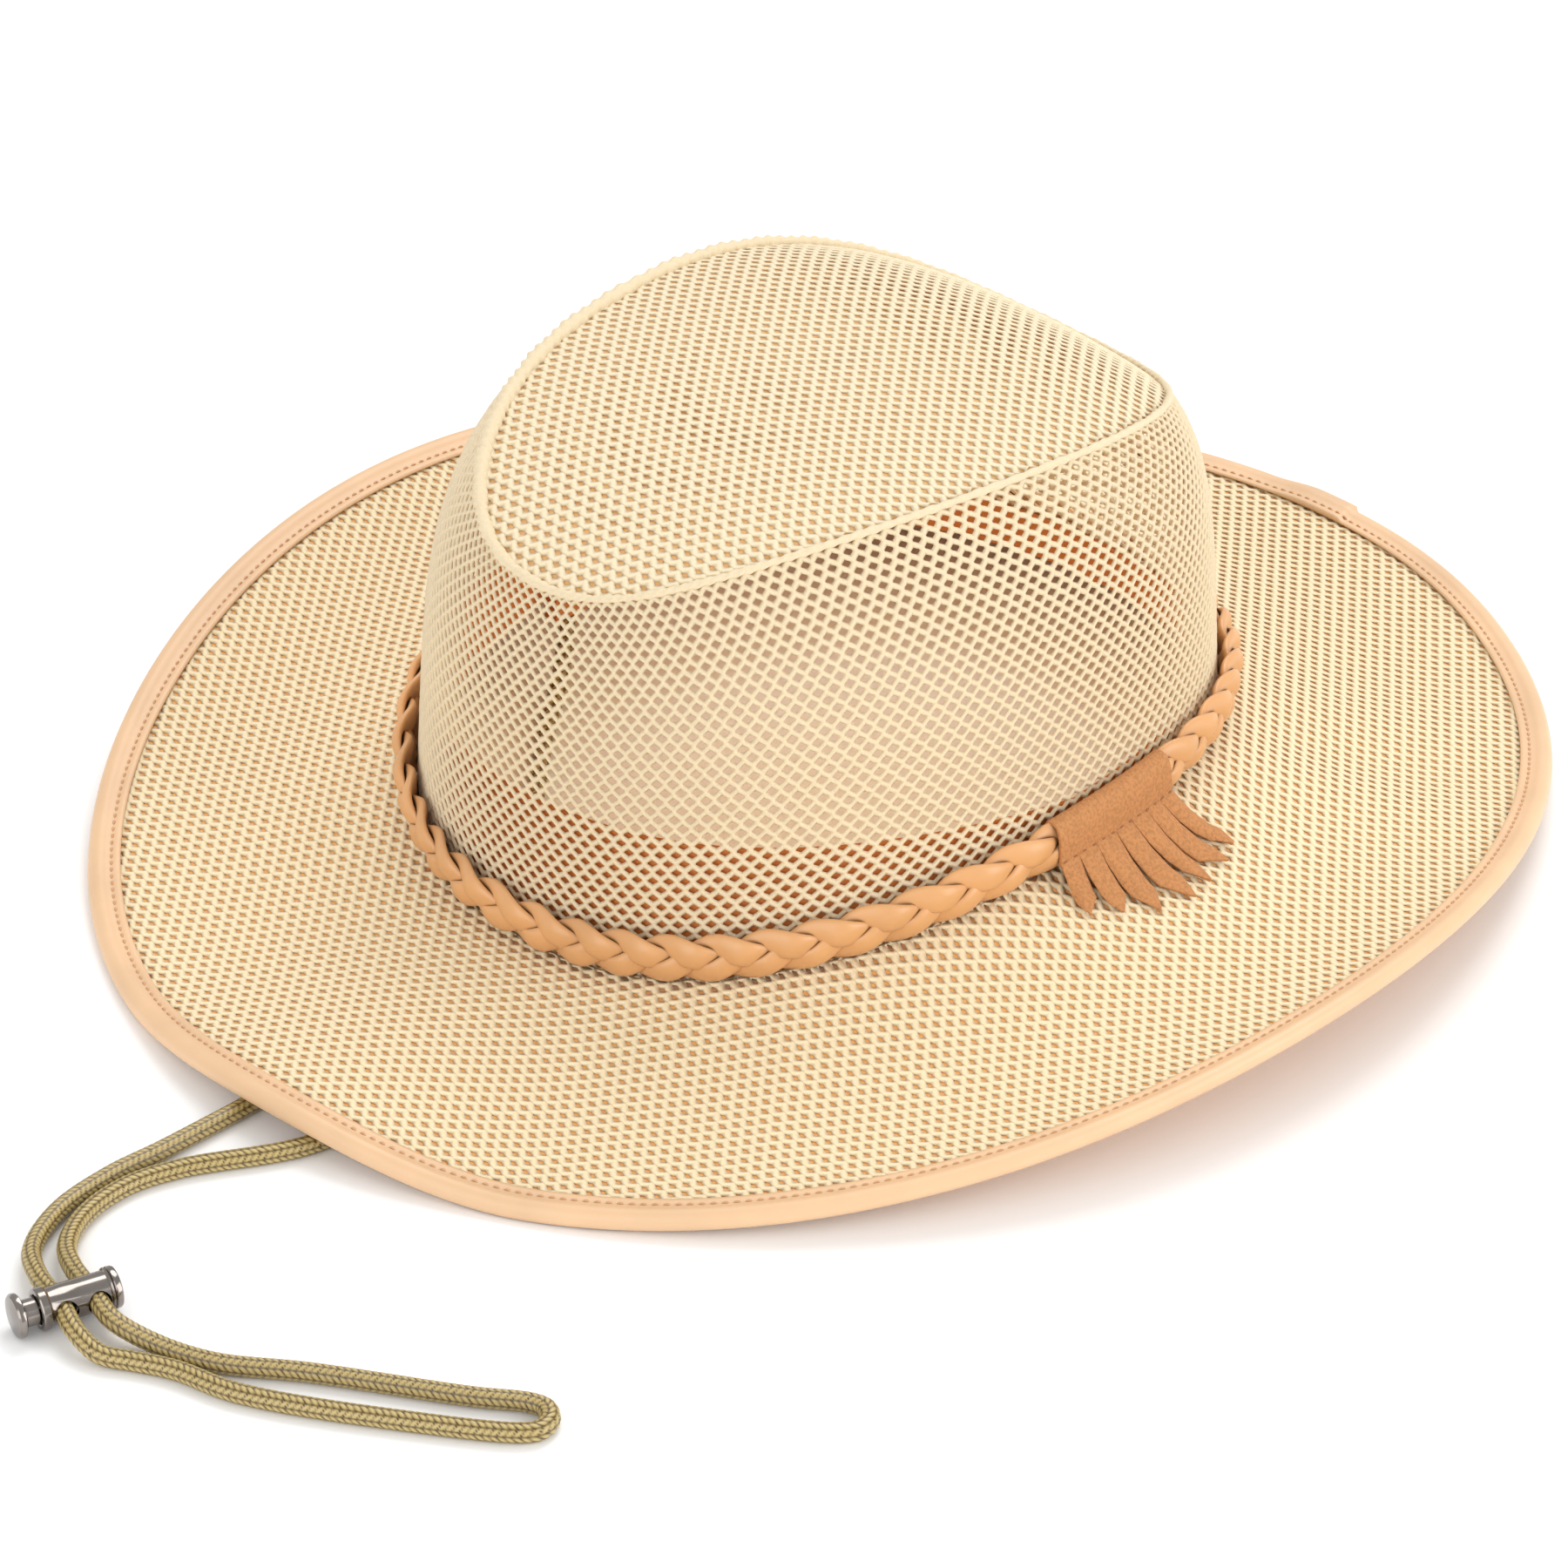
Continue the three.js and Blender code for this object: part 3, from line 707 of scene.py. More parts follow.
def add_painted_groove_shade(material, row):
    """Painted shade: a fine dark line along each row of a flat net, where a groove would lie in shade"""
    split = add_node(material, "SeparateXYZ", {"Vector": object_place(material)})
    rows = add_math(material, "DIVIDE", split.outputs["Y"], row)
    away = add_math(material, "PINGPONG", rows, 0.5)
    multiply_base(material, add_ramp(material, away, 0.03, GROOVE_SHADE, 0.12, WHITE))


def add_painted_crease_shade(material, reach, dark):
    """Painted shade: the base colour darkens where surfaces meet within reach, as if shade fell between them
    """
    near = add_node(material, "AmbientOcclusion", {"Distance": reach})
    near.samples = 8
    shade = (dark, dark * 0.8, dark * 0.65, 1.0)
    multiply_base(material, add_ramp(material, near.outputs["AO"], 0.25, shade, 0.8, WHITE))


def let_light_through(material, tint, share):
    """Part of the light that falls on one side of the cloth leaves by the other"""
    nodes = material.node_tree.nodes
    through = add_node(material, "BsdfTranslucent", {"Color": tint})
    own = nodes["Principled BSDF"].outputs["BSDF"]
    mix = add_node(material, "MixShader", {"Fac": share, 1: own, 2: through.outputs["BSDF"]})
    feed(material, nodes["Material Output"], {"Surface": mix.outputs["Shader"]})


def shade_of(base, share):
    return (*(level * share for level in base[:3]), 1.0)


def fabric(name, base, spread=0.12, scale=2500.0, bump=0.5):
    material = new_material(name, base, 0.85, sheen=0.15)
    noise = add_noise(material, scale)
    add_mottle(material, noise, shade_of(base, 1 - spread), base)
    add_bump(material, noise, bump, GRAIN_DEPTH)
    return material


def leather(name, base, roughness, spread=0.12, grain=900.0, bump=0.25):
    material = new_material(name, base, roughness)
    add_mottle(material, add_noise(material, 45.0), shade_of(base, 1 - spread), base)
    add_bump(material, add_noise(material, grain, 6.0), bump, GRAIN_DEPTH)
    return material


def suede_leather(name, base):
    material = new_material(name, base, 0.95)
    add_mottle(material, add_noise(material, 1300.0, 5.0), shade_of(base, 0.76), base, 0.36, 0.6)
    add_bump(material, add_noise(material, 2600.0, 4.0), 0.7, NAP_DEPTH)
    return material


def cord_fabric(name, light, dark):
    """The cord's own attribute says how far out each point of its strands lies, and the colour follows it:
    painted shade darkens the gaps between strands
    """
    material = new_material(name, light, 0.38)
    proud = add_node(material, "Attribute", {})
    proud.attribute_name = PROUD
    add_mottle(material, proud.outputs["Fac"], dark, light, 0.25, 0.85)
    return material


# Settings that a user would change


class HatNetSettings(bpy.types.PropertyGroup):
    """Net of the crown and the brim"""

    column: length("Column", "Distance between holes along a row", 0.0039)
    row: length("Row", "Distance between rows of holes", 0.0023)
    hole_width: length("Hole width", "Width of a hole in the crown's side", 0.00225)
    hole_height: length("Hole height", "Height of a hole in the crown's side", 0.0017)
    yarn: length("Yarn", "Thickness of the crown's side", 0.0011)
    flat_hole_width: length("Flat hole width", "Width of a hole in the brim and the top", 0.00185)
    top_hole_height: length("Top hole height", "Height of a hole in the top", 0.0012)
    brim_hole_height: length("Brim hole height", "Height of a hole in the brim", 0.00105)
    flat_yarn: length("Flat yarn", "Thickness of the net of the brim and the top", 0.0006)
    crown_colour: colour("Crown colour", "Colour of the crown's net", srgb(246, 228, 192))
    brim_colour: colour("Brim colour", "Colour of the brim's net", srgb(244, 224, 184))
    top_backing: colour("Top backing", "Colour of the cloth behind the top's net", srgb(255, 204, 134))
    brim_backing: colour("Brim backing", "Colour of the cloth behind the brim's net", srgb(244, 178, 104))


class HatLeatherSettings(bpy.types.PropertyGroup):
    """Leather trim"""

    stitch: length("Stitch", "Length of a stitch on the binding", 0.0016)
    stitch_pitch: length("Stitch pitch", "Distance from stitch to stitch", 0.0025, 0.001)
    thong_width: length("Thong width", "Width of each thong of the braid", 0.0066)
    thong_thickness: length("Thong thickness", "Thickness of each thong", 0.0026)
    suede_thickness: length("Suede thickness", "Thickness of the fringe", 0.0012)
    binding_colour: colour("Binding colour", "Leather round the brim's edge", srgb(228, 189, 148))
    braid_colour: colour("Braid colour", "Leather of the braid", srgb(222, 166, 111))
    suede_colour: colour("Suede colour", "Suede of the fringe", srgb(196, 136, 85))
    brown_colour: colour("Brown colour", "Sweatband inside the crown", srgb(218, 134, 66))


class HatCordSettings(bpy.types.PropertyGroup):
    """Chin cord and its lock"""

    diameter: length("Cord diameter", "Diameter of the chin cord", 0.0045)
    grain: length("Grain", "Length of one strand's grain on the cord", 0.00155, 0.0005)
    columns: IntProperty(name="Columns", description="Columns of grains round the cord", default=8, min=4)
    light_colour: colour("Light colour", "Crests of the cord's strands", srgb(188, 166, 108))
    # Painted shade in the gaps between the cord's strands
    gap_shade_colour: colour("Dark colour", "Gaps between the cord's strands", srgb(82, 64, 30))
    metal_colour: colour("Metal colour", "Cord lock", srgb(150, 142, 136))


class HatStageSettings(bpy.types.PropertyGroup):
    """Floor and light"""

    floor_colour: colour("Floor colour", "Pale floor", srgb(250, 250, 250))
    sky: FloatProperty(name="Sky", description="Strength of the light from all round", default=0.7, min=0)
    key: power("Key", "Power of the large light behind", 15.0)
    front: power("Front", "Power of the low light in front", 11.0)
    side: power("Side", "Power of the low light at the side", 14.0)
    inside: power("Inside", "Power of the light in the crown", 0.035)


# Operators


class HAT_OT_camera(bpy.types.Operator):
    """Place the camera where the photograph was taken"""

    bl_idname = "hat.camera"
    bl_label = "Camera"

    def execute(self, context):
        data = bpy.data.cameras.new("Camera")
        data.sensor_width = 36
        data.lens = CAMERA_LENS
        camera = bpy.data.objects.new("Camera", data)
        context.scene.collection.objects.link(camera)
        level = math.cos(CAMERA_ELEVATION)
        back = Vector((math.sin(CAMERA_AZIMUTH) * level, -math.cos(CAMERA_AZIMUTH) * level,
                       math.sin(CAMERA_ELEVATION)))
        right = Vector((math.cos(CAMERA_AZIMUTH), math.sin(CAMERA_AZIMUTH), 0))
        up = back.cross(right)
        rolled_right = right * math.cos(CAMERA_ROLL) + up * math.sin(CAMERA_ROLL)
        rolled_up = up * math.cos(CAMERA_ROLL) - right * math.sin(CAMERA_ROLL)
        turn = Matrix((rolled_right, rolled_up, back)).transposed().to_4x4()
        camera.matrix_world = Matrix.Translation(CAMERA_PLACE) @ turn
        context.scene.camera = camera
        return {"FINISHED"}


def cord_piece(settings):
    """The cord as a tube whose strands stand out, and the line it follows"""
    radius = settings.diameter / 2
    sides = 4 * settings.columns
    path, along = even_steps(smooth_curve(CORD_ROUTE), CORD_STEPS + 1)
    path[:, 2] = np.maximum(path[:, 2], radius + 0.1 * MM)
    tangent = np.gradient(path, axis=0)
    tangent /= np.linalg.norm(tangent, axis=1, keepdims=True)
    side = np.zeros_like(path)
    side[0] = (1, 0, 0)
    for i in range(1, len(path)):
        side[i] = side[i - 1] - tangent[i] * (side[i - 1] @ tangent[i])
        side[i] /= np.linalg.norm(side[i])
    other = np.cross(tangent, side)
    turn = np.arange(sides) / sides
    column = turn * settings.columns
    within = column - np.floor(column) - 0.5
    lean = np.where(np.floor(column) % 2 == 0, 1.0, -1.0)
    phase = along[:, None] / settings.grain + (lean * within)[None, :] * GRAIN_LEAN
    grain = np.abs(np.cos(math.pi * phase)) ** GRAIN_FULLNESS
    ridge = np.sqrt(np.maximum(1 - (2 * within) ** 2 * STRAND_ROUND, 0))
    proud = grain * ridge[None, :]
    reach = radius * (STRAND_FLOOR + STRAND_RISE * proud)
    points = (
        path[:, None]
        + side[:, None] * (reach * np.cos(turn * TURN)[None, :])[..., None]
        + other[:, None] * (reach * np.sin(turn * TURN)[None, :])[..., None]
    ).reshape(-1, 3)
    points[:, 2] = np.maximum(points[:, 2], 0.05 * MM)
    ring = np.arange(sides)
    after = np.roll(ring, -1)
    starts = np.arange(CORD_STEPS)[:, None] * sides
    quads = np.stack([starts + ring, starts + after, starts + after + sides, starts + ring + sides], -1)
    faces = quads.reshape(-1, 4).tolist()
    faces.append(ring[::-1].tolist())
    faces.append((ring + CORD_STEPS * sides).tolist())
    cord = mesh_piece("chin_cord_braided", points, faces)
    attribute = cord.data.attributes.new(PROUD, "FLOAT", "POINT")
    attribute.data.foreach_set("value", proud.astype(np.float32).ravel())
    return cord, path


class HAT_OT_chin_cord(bpy.types.Operator):
    """Lay the braided chin cord along its route"""

    bl_idname = "hat.chin_cord"
    bl_label = "Chin cord"

    def execute(self, context):
        settings = context.scene.hat_cord
        cord, path = cord_piece(settings)
        material = cord_fabric("Cord", settings.light_colour, settings.gap_shade_colour)
        hand_over(cord, material, ["chin_cord"])
        return {"FINISHED"}


def crown_side_net(net):
    """The net round the crown, and the number of its columns"""
    ring = np.linspace(0, TURN, 721)
    round_foot = lengths_along(ring_point(FOOT, ring))
    columns = round(round_foot[-1] / net.column)
    share = np.linspace(-0.02, 1.0, 400)
    up_wall = lengths_along(wall_point(share, np.full(400, math.radians(45)), 0.0))
    rows = int(up_wall[-1] / net.row) + 1

    def surface(u, v):
        around = np.mod(u / (columns * net.column), 1) * round_foot[-1]
        angle = np.interp(around, round_foot, ring)
        return wall_point(np.interp(v, up_wall, share), angle, 0.0)

    def out_of_wall(point):
        return point - np.array([0, 0, 0.05])

    def hem(u, v):
        return u, np.minimum(v, up_wall[-1])

    cells = np.array([(2 * c + (r % 2), r) for r in range(1, rows) for c in range(columns)])
    side = net_piece("crown_side_net", cells, net, (net.hole_width, net.hole_height), net.yarn,
                     surface, out_of_wall, 0.0, hem, 2 * columns)
    return side, columns


def crown_top_net(net):
    def plane(u, v):
        return top_surface(u, v)[0]

    def hem(x, y):
        shrink = np.minimum(1, TOP_NET_HEM / top_surface(x, y)[1])
        return TOP_PEAK.x + (x - TOP_PEAK.x) * shrink, TOP_PEAK.y + (y - TOP_PEAK.y) * shrink

    cells = planar_cells(net, 0.075, 0.1)
    _, left = top_surface(cells[:, 0] * net.column / 2, cells[:, 1] * net.row)
    return net_piece("crown_top_net", cells[left < TOP_NET_REACH], net,
                     (net.flat_hole_width, net.top_hole_height), net.flat_yarn, plane, straight_up,
                     TOP_NET_HEIGHT, hem)


def crown_top_backing():
    def place(angle, part, above):
        rim = top_rim(angle)
        peak = np.array(TOP_PEAK)
        left = (1 - part)[..., None]
        point = peak + (rim - peak) * left
        point[..., 2] = peak[2] + (rim[..., 2] - peak[2]) * left[..., 0] ** TOP_FULLNESS + above
        return point

    parts = [0, 0.06, 0.14, 0.26, 0.42, 0.62, 0.82, 0.999]
    section = [(part, TOP_BACKING_UPPER) for part in parts]
    section += [(part, TOP_BACKING_LOWER) for part in parts[::-1]]
    return ring_piece("crown_top_backing", section, 120, place)


def crown_seam(columns):
    """The roll along the crown's upper edge, fuller at the wearer's right"""

    def place(angle, turn, radius):
        fuller = SEAM_FULLER * np.maximum(np.cos(angle - SEAM_FULL_AT), 0)
        knots = 1 + 0.16 * np.sin(angle * columns + 2 * turn) + 0.08 * np.sin(angle * 37)
        reach = (radius + fuller) * knots
        out = reach * np.cos(turn) - fuller * 0.8
        return wall_point(1.0, angle, out, reach * np.sin(turn) + 0.2 * MM + fuller * 0.5)

    section = [(k * TURN / 12, SEAM_RIDGE) for k in range(12)]
    return ring_piece("crown_seam", section, 980, place)


class HAT_OT_crown(bpy.types.Operator):
    """Knit the crown's side and top and sew the seam between them"""

    bl_idname = "hat.crown"
    bl_label = "Crown"

    def execute(self, context):
        net = context.scene.hat_net
        yarn = fabric("Crown yarn", net.crown_colour)
        let_light_through(yarn, srgb(255, 240, 215), 0.2)
        side, columns = crown_side_net(net)
        hand_over(side, yarn, ["crown_side"])

        top_yarn = fabric("Top yarn", net.crown_colour)
        # Painted shade along each row of the top's net
        add_painted_groove_shade(top_yarn, net.row)
        let_light_through(top_yarn, srgb(255, 240, 215), 0.08)
        hand_over(crown_top_net(net), top_yarn, ["crown_top"])

        cloth = fabric("Top backing", net.top_backing, 0.2, 1400.0, 0.8)
        let_light_through(cloth, srgb(255, 232, 200), 0.35)
        hand_over(crown_top_backing(), cloth)
        hand_over(crown_seam(columns), yarn)
        return {"FINISHED"}


def brim_net(net):
    def plane(u, v):
        return brim_surface(u, v)[0]

    def hem(x, y):
        _, part, angle = brim_surface(x, y)
        inner = brim_inner(angle)
        width = brim_width(angle)
        kept = np.clip(part, BRIM_HEM_FROM_CROWN / width, 1 - BRIM_HEM_FROM_EDGE / width)
        moved = kept / np.where(abs(part) < 1e-4, 1e-4, part)
        return inner[..., 0] + (x - inner[..., 0]) * moved, inner[..., 1] + (y - inner[..., 1]) * moved

    cells = planar_cells(net, 0.17, 0.19)
    _, part, angle = brim_surface(cells[:, 0] * net.column / 2, cells[:, 1] * net.row)
    inside = ((1 - part) * brim_width(angle) > BRIM_NET_FROM_EDGE) & (part * brim_width(angle) > 0.0)
    return net_piece("brim_net", cells[inside], net, (net.flat_hole_width, net.brim_hole_height),
                     net.flat_yarn, plane, straight_up, BRIM_NET_HEIGHT, hem)


def brim_backing():
    def place(angle, share, above):
        reach = brim_width(angle) - 2 * BRIM_BACKING_INSET
        return brim_point(BRIM_BACKING_INSET + reach * share, angle, above)

    shares = np.linspace(0, 1, 14)
    section = [(share, BRIM_BACKING_UPPER) for share in shares]
    section += [(share, BRIM_BACKING_LOWER) for share in shares[::-1]]
    return ring_piece("brim_backing", section, 240, place)


class HAT_OT_brim(bpy.types.Operator):
    """Knit the brim over its backing"""

    bl_idname = "hat.brim"
    bl_label = "Brim"

    def execute(self, context):
        net = context.scene.hat_net
        top = brim_net(net)
        yarn = fabric("Brim yarn", net.brim_colour)
        # Painted shade along each row of the brim's net
        add_painted_groove_shade(yarn, net.row)
        hand_over(top, yarn, ["brim"])
        cloth = fabric("Brim backing", net.brim_backing, 0.25, 1400.0, 0.8)
        hand_over(brim_backing(), cloth)
        return {"FINISHED"}


def lap_share(angle):
    """How far the binding lies on its own end: 0 off the overlap, 1 on it"""
    begun = np.clip((angle - LAP_FROM) / LAP_EASE, 0, 1)
    begun = begun ** 2 * (3 - 2 * begun)
    return begun * np.clip((LAP_TO - angle) / LAP_STEP, 0, 1)


class HAT_OT_binding(bpy.types.Operator):
    """Fold the leather round the brim's edge and stitch it"""

    bl_idname = "hat.binding"
    bl_label = "Binding"

    def execute(self, context):
        settings = context.scene.hat_leather
        roll = []
        for turn in np.radians(np.arange(-60, -301, -15)):
            roll.append((BINDING_ROLL_MIDDLE + BINDING_ROLL * math.cos(turn), BINDING_ROLL * math.sin(turn)))
        section = np.array(BINDING_UNDER + roll + BINDING_UPPER) * MM

        def place(angle, from_edge, above):
            raised = LAP_RISE * lap_share(angle)
            rise = np.where(above > BINDING_UPPER_FROM, raised, 0.0)
            return brim_point(from_edge - np.where(from_edge < 0, raised, 0.0), angle, above + rise)

        binding = ring_piece("brim_binding_leather", section, 900, place)
        material = leather("Binding leather", settings.binding_colour, 0.42)
        # Painted shade darkens the binding leather where it meets the brim and its stitches
        add_painted_crease_shade(material, 0.9 * MM, 0.45)
        hand_over(binding, material, ["brim_binding"])

        angles = np.linspace(0, TURN, 4001)
        line = brim_point(STITCHES_FROM_EDGE, angles, STITCHES_HEIGHT + LAP_RISE * lap_share(angles))
        middles, _ = even_steps(line, int(STITCH_LINE_LENGTH / settings.stitch_pitch) + 1)
        stitches = stitch_piece("binding_stitches", middles, settings.stitch, STITCH_RADIUS)
        thread = fabric("Binding thread", srgb(208, 162, 120), 0.1, 4000.0, 0.3)
        hand_over(stitches, thread)
        return {"FINISHED"}


class HAT_OT_braid(bpy.types.Operator):
    """Plait three thongs round the crown's foot"""

    bl_idname = "hat.braid"
    bl_label = "Braid"

    def execute(self, context):
        settings = context.scene.hat_leather
        material = leather("Braid leather", settings.braid_colour, 0.33, 0.14, 700.0, 0.15)
        # Painted shade darkens the thongs where they cross and touch
        add_painted_crease_shade(material, 1.2 * MM, 0.1)
        half_wide = settings.thong_width / 2
        half_thick = settings.thong_thickness / 2
        section = []
        for k in range(16):
            c = math.cos(k * TURN / 16)
            s = math.sin(k * TURN / 16)
            section.append((
                half_wide * math.copysign(abs(c) ** 0.9, c),
                half_thick * math.copysign(abs(s) ** 0.95, s),
            ))
        girth = math.pi * (FOOT["half_length"] + FOOT["half_width"] + 2 * BRAID_OUT)
        for number in (1, 2, 3):
            start = number * TURN / 3

            def place(angle, wide, thick):
                phase = BRAID_PERIODS * angle + start
                slope = np.arctan(BRAID_SWING * BRAID_PERIODS * TURN / girth * np.cos(phase))
                up = BRAID_SWING * np.sin(phase) + wide * np.cos(slope)
                back = -wide * np.sin(slope) * TURN / girth
                out = BRAID_OUT + BRAID_WEAVE * np.sin(2 * phase) + thick
                out = out - BRAID_ROUND * (up - BRAID_PROUD) ** 2
                return wall_point(0.0, angle + back, out, BRAID_UP + up)

            thong = ring_piece(f"braid_thong_{number}", section, BRAID_PERIODS * 28, place)
            hand_over(thong, material, [f"braid_strand_{number}"])
        return {"FINISHED"}


class HAT_OT_fringe(bpy.types.Operator):
    """Wrap the braid in suede and cut its tails"""

    bl_idname = "hat.fringe"
    bl_label = "Fringe"

    def execute(self, context):
        settings = context.scene.hat_leather
        wrap_line, _ = even_steps(smooth_curve(np.array(WRAP_PATH) * MM), 24)

        def wrap_place(along, down):
            angle = WRAP_FROM + (WRAP_TO - WRAP_FROM) * along
            shares = np.linspace(0, 1, len(wrap_line))
            out = np.interp(down, shares, wrap_line[:, 0])
            above = np.interp(down, shares, wrap_line[:, 1])
            return wall_point(0.0, angle, out, above)

        pieces = [sheet_piece("fringe_wrap", 28, 23, wrap_place, settings.suede_thickness)]
        fold = np.linspace(WRAP_FROM, WRAP_TO, len(TAILS) + 1)
        stops = np.array(TAIL_HEIGHTS)
        for number, corners in enumerate(TAILS):
            front, point, rear = np.array(corners) * MM
            between = (front + rear) / 2
            front = front + (between - front) * TAIL_NARROWER
            rear = rear + (between - rear) * TAIL_NARROWER
            point = point + (point - between) * TAIL_LONGER
            near, far = fold[number:number + 2]

            def tail_place(along, down):
                angle = near + (far - near) * along
                root = wall_point(0.0, angle, WRAP_PATH[-1][0] * MM, 0.0)[..., :2]
                peak = 0.3 + 0.06 * number
                before = np.minimum(along / peak, 1)[..., None]
                beyond = np.clip((along - peak) / (1 - peak), 0, 1)[..., None]
                end = front + (point - front) * before + (rear - point) * beyond
                middle = root + (end - root) * 0.5
                middle[..., 0] += 1.2 * MM
                share = down[..., None]
                spot = root * (1 - share) ** 2 + 2 * middle * share * (1 - share) + end * share ** 2
                ground = brim_surface(spot[..., 0], spot[..., 1])[0]
                lift = np.interp(down, stops[:, 0], stops[:, 1])
                curl = 0.25 * np.sin(number * 2.1) * down + 0.35 * (1 - (2 * along - 1) ** 2)
                ground[..., 2] += (lift + curl) * MM
                return ground

            pieces.append(sheet_piece(f"fringe_tail_{number + 1}", 10, 20, tail_place,
                                      settings.suede_thickness * 0.8))
        clear_selection()
        for piece in pieces:
            piece.select_set(True)
        bpy.context.view_layer.objects.active = pieces[0]
        bpy.ops.object.join()
        fringe = pieces[0]
        fringe.name = "suede_fringe_cut"
        suede = suede_leather("Suede", settings.suede_colour)
        # Painted shade darkens the suede between the tails and where it meets the braid and the brim
        add_painted_crease_shade(suede, 1.2 * MM, 0.5)
        hand_over(fringe, suede, ["suede_fringe"])

        angles = np.linspace(WRAP_FROM - 0.01, WRAP_TO + 0.01, 60)
        seam = wall_point(0.0, angles, (WRAP_PATH[-1][0] + 0.55) * MM, 4.5 * MM)
        middles, _ = even_steps(seam, 13)
        stitches = stitch_piece("fringe_stitches", middles, 1.7 * MM, STITCH_RADIUS)
        hand_over(stitches, fabric("Fringe thread", srgb(150, 98, 54), 0.1, 4000.0, 0.3))
        return {"FINISHED"}


def turned_piece(name, profile, middle, axis, steps=56):
    """A profile, in millimetres out from the axis and along it, spun round it"""
    clear_selection()
    bpy.ops.mesh.primitive_circle_add(vertices=len(profile), fill_type="NOTHING")
    piece = bpy.context.object
    piece.name = name
    up = Vector((0, 0, MM))
    place_all(piece, [middle + axis * along * MM + up * radius for radius, along in profile])
    bpy.ops.object.mode_set(mode="EDIT")
    bpy.ops.mesh.select_all(action="SELECT")
    bpy.ops.mesh.spin(steps=steps, angle=TURN, center=middle, axis=axis)
    bpy.ops.object.mode_set(mode="OBJECT")
    face_out(piece, 0.004 * MM)
    return piece


def cut_with(piece, cutter):
    apply_modifier(piece, "BOOLEAN", operation="DIFFERENCE", object=cutter, solver="EXACT")
    mesh = cutter.data
    bpy.data.objects.remove(cutter)
    bpy.data.meshes.remove(mesh)


class HAT_OT_lock(bpy.types.Operator):
    """Turn the cord lock's barrel and its plunger"""

    bl_idname = "hat.lock"
    bl_label = "Cord lock"

    def execute(self, context):
        settings = context.scene.hat_cord
        metal = new_material("Gunmetal", settings.metal_colour, 0.16, 1.0)
        # The metal's colour turns up to a quarter darker in random blotches
        darker_blotches = shade_of(settings.metal_colour, 0.75)
        add_mottle(metal, add_noise(metal, 90.0), darker_blotches, settings.metal_colour)
        # Painted shade darkens the lock's grooves and joints
        add_painted_crease_shade(metal, 1.6 * MM, 0.08)
        barrel = turned_piece("lock_barrel", BARREL_PROFILE, LOCK_MIDDLE, LOCK_AXIS)
        for hand in (-1, 1):
            clear_selection()
            bpy.ops.mesh.primitive_cylinder_add(
                vertices=40,
                radius=LOCK_HOLE,
                depth=0.02,
                location=LOCK_MIDDLE + LOCK_AXIS * hand * LOCK_HOLE_OFFSET,
                rotation=LOCK_ACROSS.to_track_quat("Z", "Y").to_euler(),
            )
            cut_with(barrel, bpy.context.object)
        smooth(barrel, math.radians(30))
        hand_over(barrel, metal, ["cord_lock_barrel"])

        plunger = turned_piece("lock_plunger_button", PLUNGER_PROFILE, LOCK_MIDDLE, LOCK_AXIS)
        slot_from = -LOCK_HOLE_OFFSET - LOCK_HOLE - LOCK_TRAVEL
        clear_selection()
        bpy.ops.mesh.primitive_cube_add(
            size=1,
            location=LOCK_MIDDLE + LOCK_AXIS * (slot_from + SLOT_END) / 2,
            rotation=(0, 0, LOCK_TURN),
            scale=(SLOT_END - slot_from, SLOT_WIDTH, SLOT_HEIGHT),
        )
        cut_with(plunger, bpy.context.object)
        smooth(plunger, math.radians(30))
        hand_over(plunger, metal, ["cord_lock_plunger"], PLUNGER_BODY)
        return {"FINISHED"}


class HAT_OT_inside(bpy.types.Operator):
    """Finish the leather inside the crown"""

    bl_idname = "hat.inside"
    bl_label = "Inside leather"

    def execute(self, context):
        brown = leather("Brown leather", context.scene.hat_leather.brown_colour, 0.7)
        for node in ("sweatband", "cord_anchor_left", "cord_anchor_right"):
            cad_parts[node].material_slots[0].material = brown
        return {"FINISHED"}


def add_light(name, place, power, size, tint=(1.0, 1.0, 1.0)):
    data = bpy.data.lights.new(name, "AREA")
    data.energy = power
    data.color = tint
    data.size = size
    light = bpy.data.objects.new(name, data)
    bpy.context.scene.collection.objects.link(light)
    light.location = place
    light.rotation_mode = "QUATERNION"
    light.rotation_quaternion = (-Vector(place)).to_track_quat("-Z", "Y")


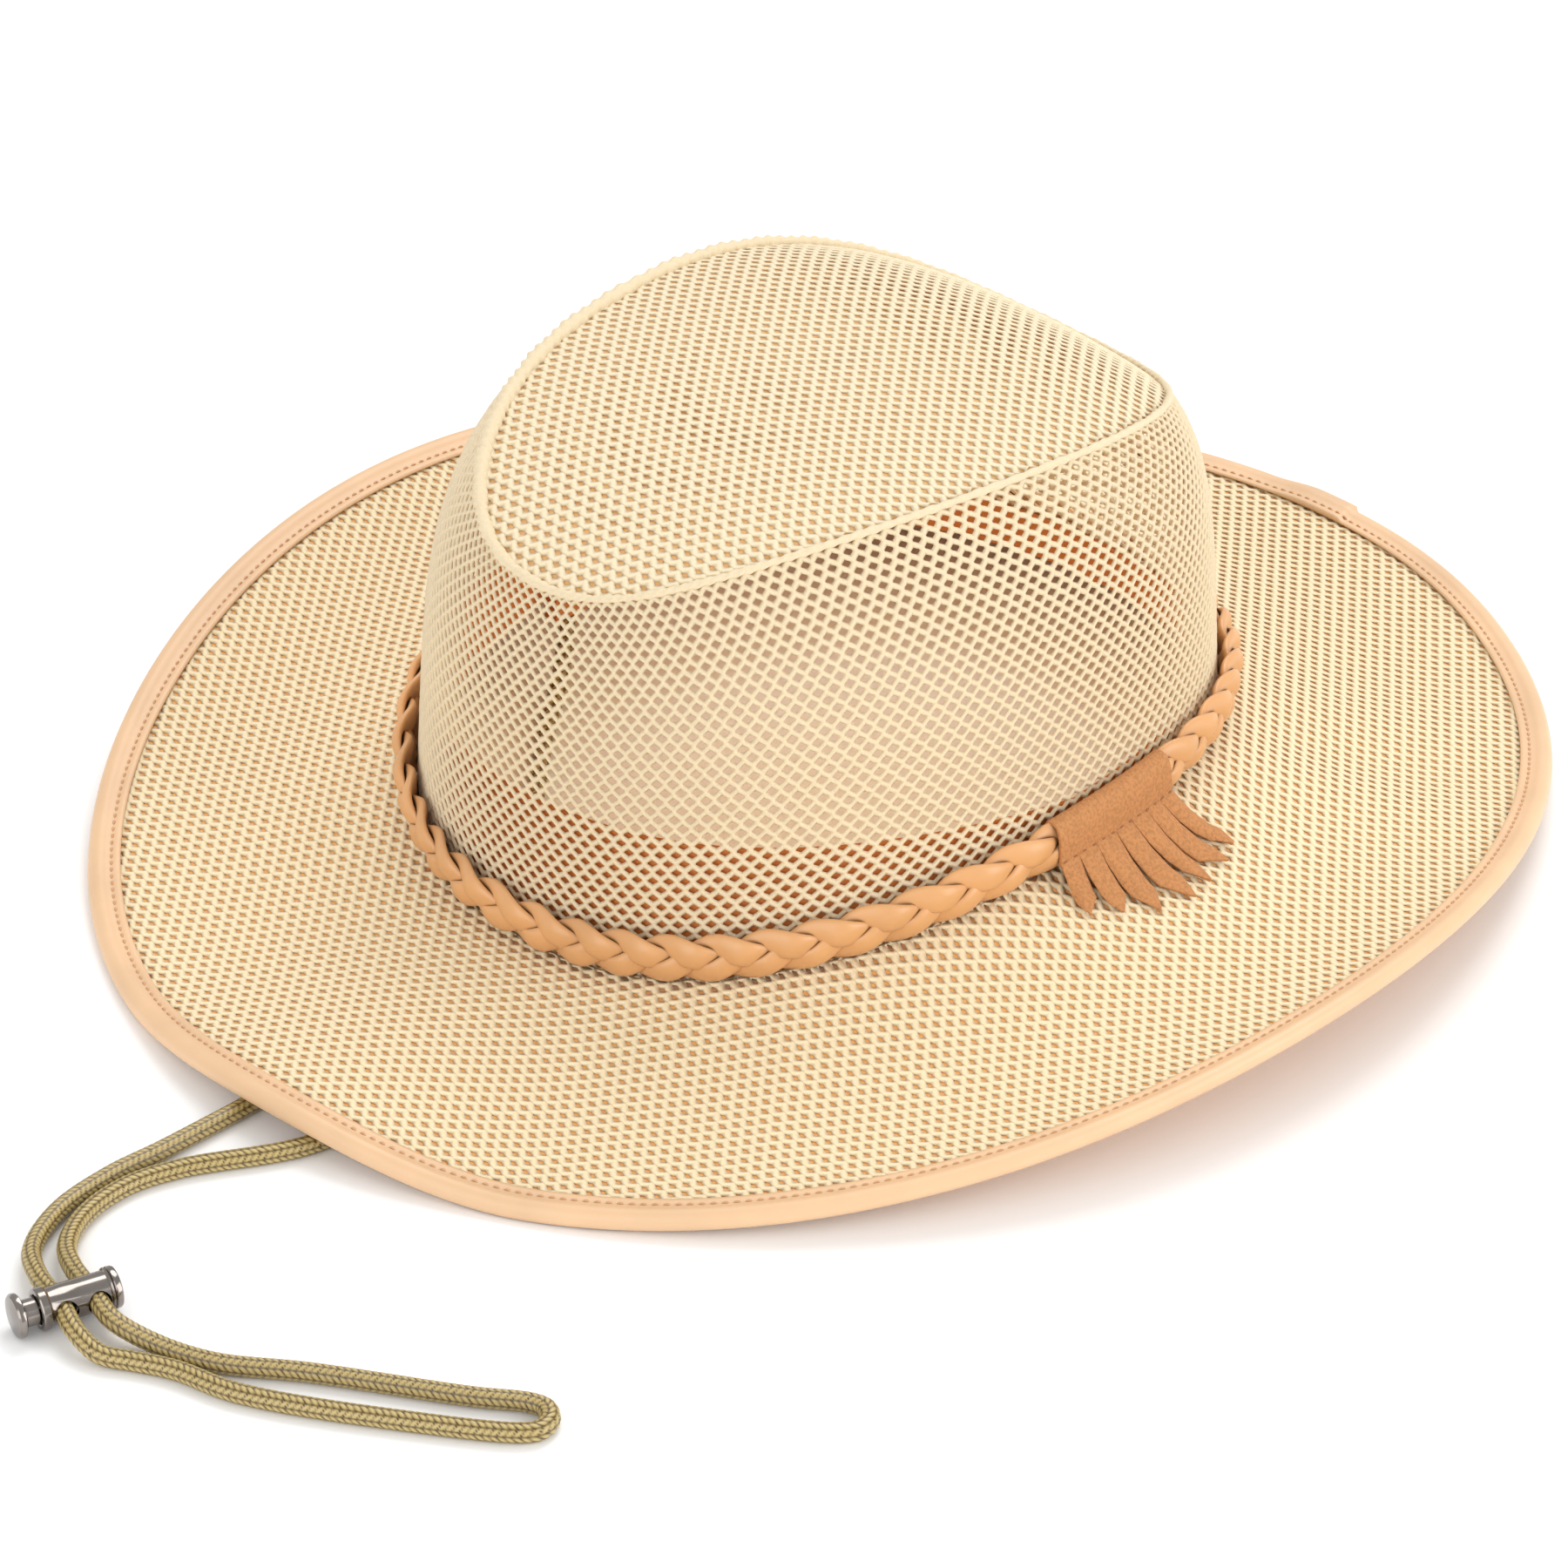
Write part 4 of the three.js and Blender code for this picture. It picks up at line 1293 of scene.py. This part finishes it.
class HAT_OT_stage(bpy.types.Operator):
    """Lay a pale floor and set soft studio light"""

    bl_idname = "hat.stage"
    bl_label = "Stage"

    def execute(self, context):
        settings = context.scene.hat_stage
        clear_selection()
        bpy.ops.mesh.primitive_plane_add(size=8, location=(0, 0, 0))
        floor = bpy.context.object
        floor.name = "floor"
        floor.data.materials.append(new_material("Floor", settings.floor_colour, 0.9))
        world = bpy.data.worlds.new("Studio")
        world.use_nodes = True
        sky = world.node_tree.nodes["Background"]
        sky.inputs["Color"].default_value = (1, 1, 1, 1)
        sky.inputs["Strength"].default_value = settings.sky
        context.scene.world = world
        add_light("Key", (-0.4, 0.8, 1.5), settings.key, 1.1)
        add_light("Front", (0.3, -1.45, 0.6), settings.front, 1.4)
        add_light("Side", (1.5, 0.5, 0.6), settings.side, 1.2)
        add_light("Inside", (0.0, 0.0, 0.09), settings.inside, 0.1, (1.0, 0.74, 0.4))
        context.scene.view_settings.view_transform = "Standard"
        return {"FINISHED"}


STEPS = (
    HAT_OT_camera,
    HAT_OT_crown,
    HAT_OT_brim,
    HAT_OT_binding,
    HAT_OT_braid,
    HAT_OT_fringe,
    HAT_OT_lock,
    HAT_OT_chin_cord,
    HAT_OT_inside,
    HAT_OT_stage,
)
GROUPS = {
    "hat_net": HatNetSettings,
    "hat_leather": HatLeatherSettings,
    "hat_cord": HatCordSettings,
    "hat_stage": HatStageSettings,
}


class HAT_PT_panel(bpy.types.Panel):
    """Sizes, colours and steps of the sun hat"""

    bl_label = "Sun hat"
    bl_idname = "HAT_PT_panel"
    bl_space_type = "VIEW_3D"
    bl_region_type = "UI"
    bl_category = "Sun hat"

    def draw(self, context):
        for group, settings in GROUPS.items():
            box = self.layout.box()
            for name in settings.__annotations__:
                box.prop(getattr(context.scene, group), name)
        for step in STEPS:
            self.layout.operator(step.bl_idname)


def register():
    for settings in GROUPS.values():
        bpy.utils.register_class(settings)
    for step in STEPS:
        bpy.utils.register_class(step)
    bpy.utils.register_class(HAT_PT_panel)
    for group, settings in GROUPS.items():
        setattr(bpy.types.Scene, group, PointerProperty(type=settings))


def unregister():
    for group in GROUPS:
        delattr(bpy.types.Scene, group)
    bpy.utils.unregister_class(HAT_PT_panel)
    for step in reversed(STEPS):
        bpy.utils.unregister_class(step)
    for settings in GROUPS.values():
        bpy.utils.unregister_class(settings)


def main():
    register()
    bpy.ops.hat.camera()
    bpy.ops.hat.crown()
    bpy.ops.hat.brim()
    bpy.ops.hat.binding()
    bpy.ops.hat.braid()
    bpy.ops.hat.fringe()
    bpy.ops.hat.lock()
    bpy.ops.hat.chin_cord()
    bpy.ops.hat.inside()
    bpy.ops.hat.stage()


if __name__ == "__main__":
    main()
